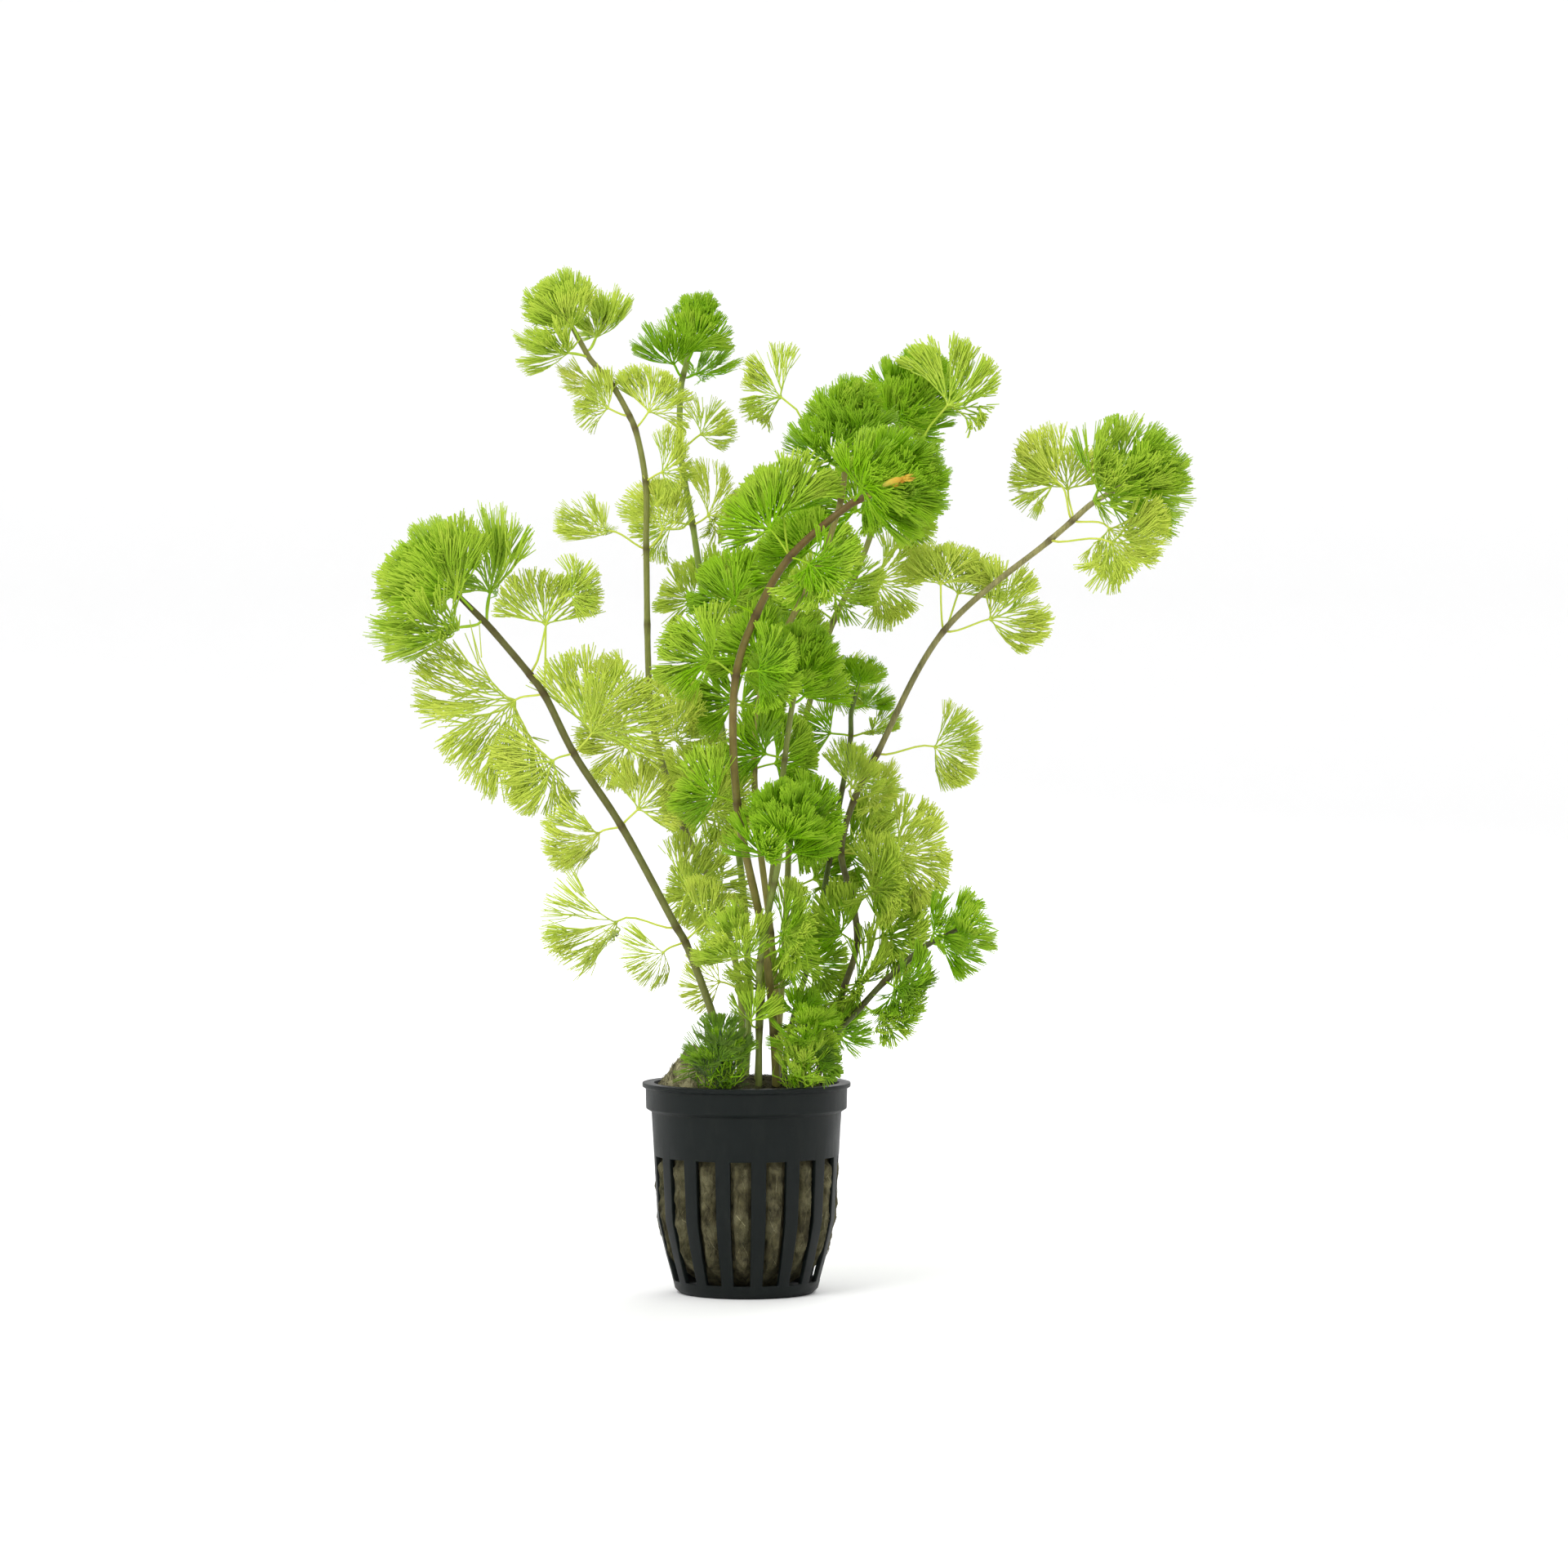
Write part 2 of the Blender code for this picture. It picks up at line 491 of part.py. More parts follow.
def cut_sockets(wool, lines, spins):
    """Cuts a socket for each stem out of the plug."""
    bm = bmesh.new()
    for name, line in lines.items():
        count = 1 + sum(point.z < SOCKET_TOP for point in line)
        radius = SHOOTS[name]["radius"] + SOCKET_CLEARANCE
        below = line[0] - Vector((0.0, 0.0, PLAY))
        frames = stem_frames([below, *line[1:count]])
        rings = [ring_of(bm, stem_ring(frame, radius, math.radians(spins[name]))) for frame in frames]
        for lower, upper in itertools.pairwise(rings):
            bridge(bm, lower, upper)
        bm.faces.new(reversed(rings[0]))
        bm.faces.new(rings[-1])
    cutter = finish_object("socket_cutter", bm, wool.data.materials[0])
    cutter.hide_render = True
    cutter.display_type = "WIRE"
    cut = wool.modifiers.new("sockets", "BOOLEAN")
    cut.object = cutter
    cut.operation = "DIFFERENCE"
    cut.solver = "EXACT"


# ---------------------------------------------------------------- stems


def smooth_point(points, t):
    """A point on the Catmull-Rom curve through the points, with t counted in spans."""
    i = min(int(t), len(points) - 2)
    u = t - i
    a = points[max(i - 1, 0)]
    b, c = points[i], points[i + 1]
    d = points[min(i + 2, len(points) - 1)]
    return 0.5 * (2 * b + (c - a) * u + (2 * a - 5 * b + 4 * c - d) * u**2 + (3 * b - a - 3 * c + d) * u**3)


def sampled(points, steps=24):
    fine = [smooth_point(points, i / steps) for i in range((len(points) - 1) * steps + 1)]
    along = [0.0]
    for a, b in itertools.pairwise(fine):
        along.append(along[-1] + (b - a).length)
    return fine, along


def point_at(fine, along, distance):
    for i in range(1, len(fine)):
        if along[i] >= distance:
            share = (distance - along[i - 1]) / max(along[i] - along[i - 1], 1e-9)
            return fine[i - 1].lerp(fine[i], share)
    return fine[-1].copy()


def joint_place(fine, along, height):
    """How far along the stem it first reaches a height."""
    return next(s for p, s in zip(fine, along) if p.z >= height)


def ring_places(fine, along, joints, fused):
    """Distances along the stem that get a ring: its ends, its joints, and evenly between them.

    A joint with a fused leaf gets two rings, for the leaf's stalk to grow from.
    """
    fixed = {0.0, along[-1], *(joint_place(fine, along, z) for z in joints)}
    for z in fused:
        place = joint_place(fine, along, z)
        fixed |= {place, place + JOINT_HEIGHT}
    fixed = sorted(fixed)
    places = []
    for a, b in itertools.pairwise(fixed):
        pieces = max(1, round((b - a) / RING_SPACING))
        places += [a + (b - a) * i / pieces for i in range(pieces)]
    return [*places, along[-1]]


def stem_frames(points):
    """(point, tangent, side, other side) along a line, turning as little as it can."""
    frames = []
    side = None
    for i, point in enumerate(points):
        before, after = points[max(i - 1, 0)], points[min(i + 1, len(points) - 1)]
        tangent = (after - before).normalized()
        start = Vector((1.0, 0.0, 0.0)) if side is None else side
        side = (start - tangent * start.dot(tangent)).normalized()
        frames.append((point, tangent, side, tangent.cross(side)))
    return frames


def stem_ring(frame, radius, spin=0.0):
    point, _, side, other = frame
    angles = [spin + 2 * math.pi * i / STEM_SIDES for i in range(STEM_SIDES)]
    return [point + (side * math.cos(a) + other * math.sin(a)) * radius for a in angles]


# ---------------------------------------------------------------- leaves


def compass(azimuth, rise):
    """A direction from degrees round (0 is +X, 90 is +Y) and degrees above the horizon."""
    a, r = math.radians(azimuth), math.radians(rise)
    return Vector((math.cos(a) * math.cos(r), math.sin(a) * math.cos(r), math.sin(r)))


def fan_normal(axis, up, roll):
    """The fan's normal: its face looks towards up, then rolls about its axis."""
    normal = (up - axis * up.dot(axis)).normalized()
    return Matrix.Rotation(math.radians(roll), 3, axis) @ normal


def lobe_share(station, stations):
    """Reach of the rim: full on a lobe, less in the notch between two and at the outer edges."""
    if station in (0, stations - 1):
        return EDGE_SHARE
    return 1.0 if station % 2 else NOTCH_SHARE


def grow_leaf(bm, mouth, hub, axis, normal, size, fan, swell=0.0):
    """Grows a stalk from the mouth's four corners to the hub, and a dished fan from there.

    The mouth's corners run round its opening. The fan is its spread and its stations. Swell
    thickens all but the mouth, to test how clear the leaf is.
    """
    spread, stations = fan
    side = normal.cross(axis)
    half_width, half_height = STALK_WIDTH / 2 + swell, HUB_THICKNESS / 2 + swell
    left_low, right_low, right_high, left_high = hub_ring = ring_of(bm, [
        hub + side * sx * half_width + normal * sy * half_height
        for sx, sy in ((-1, -1), (1, -1), (1, 1), (-1, 1))
    ])
    turns = [mouth[i:] + mouth[:i] for i in range(4)]
    bridge(bm, min(turns, key=lambda turn: sum((m.co - h.co).length for m, h in zip(turn, hub_ring))), hub_ring)

    above, below = [], []
    half = RIM_THICKNESS / 2 + swell
    for i in range(stations):
        angle = spread * (i / (stations - 1) - 0.5)
        reach = size * lobe_share(i, stations)
        rise = size * (BLADE_DISH + BLADE_CURL * math.sin(angle) ** 2)
        middle = hub + (axis * math.cos(angle) + side * math.sin(angle)) * reach + normal * rise
        above.append(bm.verts.new(middle + normal * half))
        below.append(bm.verts.new(middle - normal * half))
    centre = stations // 2
    for left, right, corners in ((left_high, right_high, above), (left_low, right_low, below)):
        for i in range(stations - 1):
            bm.faces.new((left if i < centre else right, corners[i], corners[i + 1]))
        bm.faces.new((left, corners[centre], right))
    for i in range(stations - 1):
        bm.faces.new((above[i], above[i + 1], below[i + 1], below[i]))
    for low, high, end in ((left_low, left_high, 0), (right_low, right_high, stations - 1)):
        bm.faces.new((low, high, above[end], below[end]))


def stem_line(name, route):
    """Middles of the rings of a stem, up to the foot of its tip."""
    fine, along = sampled(route)
    joints, fused = ({leaf[0] for leaf in table.get(name, ())} for table in (LEAVES, SIDE_LEAVES))
    return [point_at(fine, along, s) for s in ring_places(fine, along, joints, fused)]


def shoot_mesh(shoot, line, spin, side_leaves=()):
    """The bmesh of a stem with the leaf pairs of its tip fused to it, and its side leaves as placed."""
    aim = Vector(shoot["aim"]).normalized()
    first = len(line) - 1
    steps = 2 * shoot["pairs"]
    points = line + [line[-1] + aim * TIP_PAIR_SPACING * i / 2 for i in range(1, steps + 1)]
    radii = [shoot["radius"] * (1.0 - 0.5 * (max(i - first, 0) / steps) ** 2) for i in range(len(points))]
    frames = stem_frames(points)
    bm = bmesh.new()
    rings = [ring_of(bm, stem_ring(f, r, math.radians(spin))) for f, r in zip(frames, radii)]
    mouths = set()
    for pair, half in itertools.product(range(shoot["pairs"]), (0, STEM_SIDES // 2)):
        row = first + 2 * pair
        face = (pair + half) % STEM_SIDES
        mouths.add((row, face))
        _, _, side, other = frames[row + 1]
        angle = math.radians(spin) + 2 * math.pi * (face + 0.5) / STEM_SIDES
        out = side * math.cos(angle) + other * math.sin(angle)
        rise = math.radians(TIP_RISES[pair])
        axis = (out * math.cos(rise) + aim * math.sin(rise)).normalized()
        size = shoot["tip_leaf"] * TIP_SHARES[pair]
        hub = frames[row][0].lerp(frames[row + 1][0], 0.5) + axis * (shoot["radius"] + size * TIP_STALK_SHARE)
        after = (face + 1) % STEM_SIDES
        mouth = [rings[row][face], rings[row][after], rings[row + 1][after], rings[row + 1][face]]
        grow_leaf(bm, mouth, hub, axis, fan_normal(axis, aim, 0.0), size, TIP_FAN)
    for joint, out, _, _, hub, axis, normal, size in side_leaves:
        row = min(range(first), key=lambda i: (line[i] - joint).length)
        _, _, side, other = frames[row]
        turn = math.atan2(out.dot(other), out.dot(side)) - math.radians(spin)
        face = round(turn / (2 * math.pi / STEM_SIDES) - 0.5) % STEM_SIDES
        if (row, face) in mouths or (line[row + 1] - line[row]).length > 1.5 * JOINT_HEIGHT:
            raise RuntimeError("a side leaf has no face of its own")
        mouths.add((row, face))
        after = (face + 1) % STEM_SIDES
        mouth = [rings[row][face], rings[row][after], rings[row + 1][after], rings[row + 1][face]]
        grow_leaf(bm, mouth, hub, axis, normal, size, LEAF_FAN)
    for row, (lower, upper) in enumerate(itertools.pairwise(rings)):
        for i in range(STEM_SIDES):
            if (row, i) not in mouths:
                j = (i + 1) % STEM_SIDES
                bm.faces.new((lower[i], lower[j], upper[j], upper[i]))
    bm.faces.new(reversed(rings[0]))
    bud = bm.verts.new(points[-1] + aim * BUD_LENGTH)
    for i, vert in enumerate(rings[-1]):
        bm.faces.new((vert, rings[-1][(i + 1) % STEM_SIDES], bud))
    return bm


def stem_tree(line, radius):
    """The stem alone, a little thicker, for testing what comes too near to it."""
    bm = bmesh.new()
    rings = [ring_of(bm, stem_ring(frame, radius + CLEARANCE)) for frame in stem_frames(line)]
    for lower, upper in itertools.pairwise(rings):
        bridge(bm, lower, upper)
    tree = BVHTree.FromBMesh(bm)
    bm.free()
    return tree


def find_spin(name, line, stems, grown):
    """The spin in degrees at which the leaves of a shoot's tip are clear of the other stems and tips."""
    shoot = SHOOTS[name]
    near = [tree for other, tree in stems.items() if other != name] + grown
    for extra in SPINS:
        spin = shoot["spin"] + extra
        bm = shoot_mesh(shoot, line, spin)
        tree = BVHTree.FromBMesh(bm)
        if not any(tree.overlap(other) for other in near):
            grown.append(tree)
            bm.free()
            return spin
        bm.free()
    raise RuntimeError(f"shoot_{name} finds no room")


def tree_of(obj):
    bm = bmesh.new()
    bm.from_mesh(obj.data)
    tree = BVHTree.FromBMesh(bm)
    bm.free()
    return tree


def place_leaf(shoot, route, leaf, turn, shrink):
    """Where one full-grown leaf lies, turned aside by turn and shrunk by shrink.

    It is the joint on the stem, the way out of the stem, the stem's own way, the foot of the
    stalk, the hub, the axis and normal of the fan, and its size.
    """
    height, azimuth, bend, stalk_rise, fan_rise, roll, stalk, size = leaf
    azimuth += turn[0]
    fan_rise += turn[1]
    fine, along = sampled(route)
    index = next(i for i, p in enumerate(fine) if p.z >= height)
    joint = point_at(fine, along, along[index])
    tangent = (fine[min(index + 1, len(fine) - 1)] - fine[index - 1]).normalized()
    out = compass(azimuth, 0)
    out = (out - tangent * out.dot(tangent)).normalized()
    foot = joint + out * (shoot["radius"] + PLAY)
    hub = foot + compass(azimuth, stalk_rise) * stalk
    axis = compass(azimuth + bend, fan_rise)
    return joint, out, tangent, foot, hub, axis, fan_normal(axis, tangent, roll), size * shrink


def leaf_mesh(place, swell=0.0):
    """The bmesh of one full-grown leaf that stands off its stem."""
    _, out, tangent, foot, hub, axis, normal, size = place
    right = tangent.cross(out)
    bm = bmesh.new()
    mouth = ring_of(bm, [
        foot + right * sx * STALK_WIDTH / 2 + tangent * sy * STALK_HEIGHT / 2
        for sx, sy in ((-1, -1), (1, -1), (1, 1), (-1, 1))
    ])
    bm.faces.new(reversed(mouth))
    grow_leaf(bm, mouth, hub, axis, normal, size, LEAF_FAN, swell)
    return bm


def find_room(name, shoot, route, leaf, grown):
    """The place of a leaf as it would like to lie, or the nearest that is clear of all that has grown."""
    for shrink, turn in itertools.product(SHRINKS, TURNS):
        place = place_leaf(shoot, route, leaf, turn, shrink)
        bm = leaf_mesh(place, CLEARANCE)
        bmesh.ops.triangulate(bm, faces=bm.faces)
        tree = BVHTree.FromBMesh(bm)
        bm.free()
        if not any(tree.overlap(other) for other in grown):
            bm = leaf_mesh(place)
            bmesh.ops.triangulate(bm, faces=bm.faces)
            grown.append(BVHTree.FromBMesh(bm))
            bm.free()
            return place
    raise RuntimeError(f"{name} finds no room")


def main():
    clear_scene()
    leaf_material = plain_material("leaf", LEAF_GREEN, 0.45)
    shoot_material = plain_material("shoot", SHOOT_GREEN, 0.50)
    pot = build_pot(plain_material("pot_plastic", POT_BLACK, 0.35))
    wool = build_wool(plain_material("rock_wool", WOOL_BEIGE, 0.95))
    routes = {name: [Vector(point) for point in shoot["route"]] for name, shoot in SHOOTS.items()}
    lines = {name: stem_line(name, route) for name, route in routes.items()}
    stems = {name: stem_tree(line, SHOOTS[name]["radius"]) for name, line in lines.items()}
    shoots = []
    spins = {name: find_spin(name, lines[name], stems, shoots) for name in SHOOTS}
    grown = [tree_of(pot), tree_of(wool), *shoots]
    for name, leaves in LEAVES.items():
        for number, leaf in enumerate(leaves, start=1):
            node = f"leaf_{name}_{number}"
            place = find_room(node, SHOOTS[name], routes[name], leaf, grown)
            finish_object(node, leaf_mesh(place), leaf_material)
    for name, shoot in SHOOTS.items():
        placed = [
            find_room(f"side leaf {number} of {name}", shoot, routes[name], leaf, grown)
            for number, leaf in enumerate(SIDE_LEAVES.get(name, ()), start=1)
        ]
        finish_object("shoot_" + name, shoot_mesh(shoot, lines[name], spins[name], placed), shoot_material)
    cut_sockets(wool, lines, spins)


main()
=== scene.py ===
"""A potted cabomba: fine forking leaves on slim stems, in rock wool in a black net pot.

Each piece is made inside the form of its CAD solid, which is read from the frame.
"""

import collections
import copy
import itertools
import math
import random

import bmesh
import bpy
from mathutils import Matrix, Vector, noise


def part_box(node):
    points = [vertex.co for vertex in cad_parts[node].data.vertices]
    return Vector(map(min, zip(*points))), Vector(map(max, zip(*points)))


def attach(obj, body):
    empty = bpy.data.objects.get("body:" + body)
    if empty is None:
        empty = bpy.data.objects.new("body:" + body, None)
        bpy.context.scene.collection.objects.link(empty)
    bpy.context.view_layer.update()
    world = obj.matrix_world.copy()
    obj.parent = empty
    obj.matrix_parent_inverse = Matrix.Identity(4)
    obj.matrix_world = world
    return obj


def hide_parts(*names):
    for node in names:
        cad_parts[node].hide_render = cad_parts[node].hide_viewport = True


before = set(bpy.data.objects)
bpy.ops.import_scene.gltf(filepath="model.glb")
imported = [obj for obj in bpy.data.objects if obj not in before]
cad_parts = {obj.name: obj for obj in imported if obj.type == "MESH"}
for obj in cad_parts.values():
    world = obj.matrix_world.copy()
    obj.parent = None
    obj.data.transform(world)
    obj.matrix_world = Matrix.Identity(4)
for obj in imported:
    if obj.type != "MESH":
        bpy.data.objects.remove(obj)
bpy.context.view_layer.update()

MM = 0.001

# Greens and browns of the plant, as linear colours.
LEAF_PALE = (0.76, 0.83, 0.14)
LEAF_DEEP = (0.22, 0.49, 0.003)
LEAF_TIP = (0.70, 0.83, 0.09)
# The next colour is painted shade: the dark olive of the deepest leaves, at the plant's foot and in
# its crowded middle.
LEAF_PAINTED_SHADE = (0.075, 0.115, 0.040)
WILTED = (0.54, 0.27, 0.025)
JOINT_BROWN = (0.060, 0.035, 0.012)

# Rock wool, from the painted shade of its hollows and of its top's right side to its dry tuft.
WOOL_SHADE = (0.020, 0.018, 0.009)
WOOL_BEIGE = (0.108, 0.097, 0.045)
WOOL_OLIVE = (0.034, 0.038, 0.012)
WOOL_DRY = (0.50, 0.46, 0.26)
WOOL_SPECK = (0.045, 0.032, 0.014)
# Painted shade on the right of the wool's top.
WOOL_TOP_SHADE = (0.030, 0.022, 0.012)

POT_BLACK = (0.0040, 0.0065, 0.0060)
POT_DUST = (0.026, 0.028, 0.024)
POT_GRAIN = (0.010, 0.013, 0.012)

# A stem's colour low and high, and how deep the green of its leaves and of its crown is; past 1.0
# that depth is painted shade.
Look = collections.namedtuple("Look", "stem_low stem_high leaf_deep crown_deep")
SHOOT_LOOKS = {
    "far_left": Look((0.19, 0.21, 0.05), (0.09, 0.075, 0.02), 0.24, 0.72),
    "tall_left": Look((0.28, 0.31, 0.08), (0.20, 0.20, 0.05), 0.22, 0.50),
    "back_left": Look((0.24, 0.32, 0.07), (0.26, 0.34, 0.06), 0.24, 1.00),
    "front_bent": Look((0.24, 0.22, 0.05), (0.13, 0.070, 0.018), 0.46, 1.0),
    "middle": Look((0.36, 0.32, 0.09), (0.30, 0.26, 0.07), 0.42, 0.80),
    "back_right": Look((0.30, 0.31, 0.09), (0.26, 0.28, 0.07), 0.36, 0.80),
    "far_right": Look((0.065, 0.060, 0.018), (0.36, 0.33, 0.13), 0.22, 0.78),
    "slender": Look((0.08, 0.09, 0.03), (0.16, 0.22, 0.05), 0.55, 0.90),
    "low_right": Look((0.10, 0.12, 0.03), (0.09, 0.10, 0.03), 0.60, 0.85),
    "short_front": Look((0.22, 0.26, 0.06), (0.20, 0.26, 0.05), 0.50, 1.0),
    "short_middle": Look((0.26, 0.26, 0.07), (0.20, 0.24, 0.05), 0.50, 1.0),
    "base_left": Look((0.05, 0.08, 0.03), (0.06, 0.11, 0.04), 0.90, 1.16),
    "base_right": Look((0.08, 0.12, 0.03), (0.10, 0.18, 0.04), 0.70, 0.85),
}


# -------- reading the frame

WELD = 1e-6  # points nearer than this are one
LEAF_STEPS = [4, 4, 10]  # corners of a leaf's solid at its mouth, at its hub and on its rim
RIM_FROM = 0.7  # a corner beyond this share of a fan's size is on its rim
RING_CORNERS = 6  # round the solid of a stem
MIN_STEP_DOWN = 0.3 * MM  # the next ring of a stem is at least this far below
BUD_REACH = 5.0 * MM  # a bud's tip is nearer than this to the last ring
BUD_EVEN = 0.02 * MM  # and equally far from its corners, within this

# The form of the CAD leaves' dished fans, as shares of a fan's size.
BLADE_DISH = 0.16
BLADE_CURL = 0.20
NOTCH_SHARE = 0.84
EDGE_SHARE = 0.90


def clamped(value, low=0.0, high=1.0):
    return min(max(value, low), high)


def mean(points):
    points = list(points)
    return sum(points, Vector()) / len(points)


def welded(node):
    """A node's points with doubles joined, the neighbours of each, and its triangles' corners."""
    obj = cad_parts[node]
    index, points, joined = {}, [], []
    for vert in obj.data.vertices:
        place = obj.matrix_world @ vert.co
        key = tuple(round(number / WELD) for number in place)
        if key not in index:
            index[key] = len(points)
            points.append(place)
        joined.append(index[key])
    beside = [set() for _ in points]
    triangles = []
    for polygon in obj.data.polygons:
        corners = [joined[vert] for vert in polygon.vertices]
        triangles.append(set(corners))
        for a, b in zip(corners, corners[1:] + corners[:1]):
            if a != b:
                beside[a].add(b)
                beside[b].add(a)
    return points, beside, triangles


def levels(beside, start):
    """Sets of points at one step, two steps and so on from the start."""
    found, seen = [set(start)], set(start)
    while True:
        step = {n for v in found[-1] for n in beside[v]} - seen
        if not step:
            return found
        found.append(step)
        seen |= step


def components(beside, points):
    """The sets that the points fall into, joined through one another."""
    left, found = set(points), []
    while left:
        part, todo = set(), [min(left)]
        while todo:
            v = todo.pop()
            if v in left:
                left.discard(v)
                part.add(v)
                todo += [n for n in beside[v] if n in left]
        found.append(part)
    return found


class Fan:
    """A dished fan: its hub, its axis, the side and normal across it, its size and half spread."""

    def __init__(self, points, hub, rim):
        self.hub = mean(points[v] for v in hub)
        pairs = {}
        for v in rim:
            near = min((w for w in rim if w != v), key=lambda w: (points[w] - points[v]).length)
            pairs[min(v, near)] = max(v, near)
        first = None
        middles, normal = [], Vector()
        for a, b in pairs.items():
            across = (points[a] - points[b]).normalized()
            if first is None:
                first = across
            normal += across if across.dot(first) > 0 else -across
            middles.append((points[a] + points[b]) / 2 - self.hub)
        normal.normalize()
        if sum(m.dot(normal) for m in middles) < 0:
            normal.negate()
        flat = [m - normal * m.dot(normal) for m in middles]
        reach = max(f.length for f in flat)
        flat = [f for f in flat if f.length > reach * RIM_FROM]
        self.normal = normal
        self.axis = sum((f.normalized() for f in flat), Vector()).normalized()
        self.side = normal.cross(self.axis)
        self.size = max(f.length for f in flat)
        self.half = max(abs(math.atan2(f.dot(self.side), f.dot(self.axis))) for f in flat)
        self.stations = len(flat)

    def rim_share(self, angle):
        """How far the rim reaches at an angle, between its lobes and its notches."""
        place = clamped((angle / self.half + 1) / 2 * (self.stations - 1), 0.0, self.stations - 1.0)
        low = min(int(place), self.stations - 2)

        def share(station):
            if station in (0, self.stations - 1):
                return EDGE_SHARE
            return 1.0 if station % 2 else NOTCH_SHARE

        return share(low) + (share(low + 1) - share(low)) * (place - low)

    def point(self, share, angle, lift, reach=1.0):
        """The point at a share of the way to the rim, lifted by a share of its size."""
        out = self.axis * math.cos(angle) + self.side * math.sin(angle)
        rise = share**2 * (BLADE_DISH + BLADE_CURL * math.sin(angle) ** 2) + lift * share
        return self.hub + out * (self.size * share * reach) + self.normal * (self.size * rise)

    def turned(self, roll, pitch, size):
        """A copy rolled about its axis, pitched about its side, and resized."""
        twin = copy.copy(self)
        turn = Matrix.Rotation(roll, 3, self.axis)
        twin.normal, twin.side = turn @ self.normal, turn @ self.side
        turn = Matrix.Rotation(pitch, 3, twin.side)
        twin.normal, twin.axis = turn @ twin.normal, turn @ self.axis
        twin.size = self.size * size
        return twin


def read_leaf(node):
    """The foot of a leaf's stalk and its fan."""
    points, beside, triangles = welded(node)
    for one, other in itertools.combinations(triangles, 2):
        if len(one & other) == 2:
            mouth = one | other
            steps = levels(beside, mouth)
            if [len(step) for step in steps] == LEAF_STEPS:
                return mean(points[v] for v in mouth), Fan(points, steps[1], steps[2])
    raise RuntimeError(f"{node}: no stalk found")


def find_bud(points, beside):
    """The tip of a stem's bud: the last point with one ring's corners evenly round it."""
    bud = None
    for v, near in enumerate(beside):
        reach = [(points[n] - points[v]).length for n in near]
        even = len(near) == RING_CORNERS and max(reach) - min(reach) < BUD_EVEN
        if even and (bud is None or max(reach) < BUD_REACH):
            bud = v
    return bud


def find_rings(node, points, beside, bud):
    """The rings of a stem's corners, from its foot up to its bud."""
    rings, seen = [sorted(beside[bud])], {bud, *beside[bud]}
    ahead = (points[bud] - mean(points[v] for v in rings[0])).normalized()
    while True:
        middle = mean(points[v] for v in rings[-1])
        around = {n for v in rings[-1] for n in beside[v]} - seen
        below = [n for n in around if (points[n] - middle).dot(ahead) < -MIN_STEP_DOWN]
        if not below:
            return rings[::-1]
        if len(below) > RING_CORNERS:
            whole = [part for part in components(beside, below) if len(part) == RING_CORNERS]
            nearest = sorted(below, key=lambda n: (points[n] - middle).length)[:RING_CORNERS]
            below = sorted(whole[0]) if whole else nearest
        if len(below) != RING_CORNERS:
            raise RuntimeError(f"{node}: a ring of {len(below)}")
        seen.update(below)
        ahead = (middle - mean(points[v] for v in below)).normalized()
        rings.append(below)


def read_shoot(node):
    """The middles of a stem's rings from its foot up, the tip of its bud, its radius at the foot,
    and its leaves as (foot, fan)."""
    points, beside, _ = welded(node)
    bud = find_bud(points, beside)
    rings = find_rings(node, points, beside, bud)
    middles = [mean(points[v] for v in ring) for ring in rings]
    radius = sum((points[v] - middles[0]).length for v in rings[0]) / RING_CORNERS
    on_rings = {v for ring in rings for v in ring}
    leaves = []
    for part in components(beside, set(range(len(points))) - {bud} - on_rings):
        hub = {v for v in part if beside[v] & on_rings}
        mouth = {n for v in hub for n in beside[v]} & on_rings
        leaves.append((mean(points[v] for v in mouth), Fan(points, hub, part - hub)))
    return middles, points[bud], radius, leaves


leaf_shapes = {node: read_leaf(node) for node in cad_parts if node.startswith("leaf_")}


# -------- lines and tubes


def spaced(points, least):
    """The points without those nearer than least to the one before."""
    kept = [points[0]]
    for place in points[1:]:
        if (place - kept[-1]).length >= least:
            kept.append(place)
    return kept


def cubic(start, leaving, end, arriving, t):
    """The point at t, from 0 to 1, on a cubic from start to end that leaves and arrives so."""
    return (start * (2 * t**3 - 3 * t**2 + 1) + leaving * (t**3 - 2 * t**2 + t)
            + end * (3 * t**2 - 2 * t**3) + arriving * (t**3 - t**2))


def bent_line(start, leaving, end, arriving, count):
    """A smooth line from start to end, with directions scaled by the distance."""
    span = (end - start).length
    return [cubic(start, leaving * span, end, arriving * span, i / count)
            for i in range(count + 1)]


def smooth_line(points, step):
    """A centripetal curve's points, about a step apart, and how far along each is."""
    points = [2 * points[0] - points[1], *points, 2 * points[-1] - points[-2]]
    line = []
    for a, b, c, d in zip(points, points[1:], points[2:], points[3:]):
        before, here, after = (math.sqrt((q - p).length) for p, q in ((a, b), (b, c), (c, d)))
        leaving = ((b - a) / before - (c - a) / (before + here) + (c - b) / here) * here
        arriving = ((c - b) / here - (d - b) / (here + after) + (d - c) / after) * here
        count = max(1, round((c - b).length / step))
        line += [cubic(b, leaving, c, arriving, k / count) for k in range(count)]
    line.append(points[-2].copy())
    along = [0.0]
    for a, b in itertools.pairwise(line):
        along.append(along[-1] + (b - a).length)
    return line, along


def nearest_on(line, place):
    return min(range(len(line)), key=lambda i: (line[i] - place).length_squared)


def round_point(radius, angle, height):
    return Vector((radius * math.cos(angle), radius * math.sin(angle), height))


def link_mesh(name, mesh, materials):
    """A smooth object with a mesh and its materials, in the scene."""
    mesh.polygons.foreach_set("use_smooth", [True] * len(mesh.polygons))
    for material in materials:
        mesh.materials.append(material)
    obj = bpy.data.objects.new(name, mesh)
    bpy.context.scene.collection.objects.link(obj)
    return obj


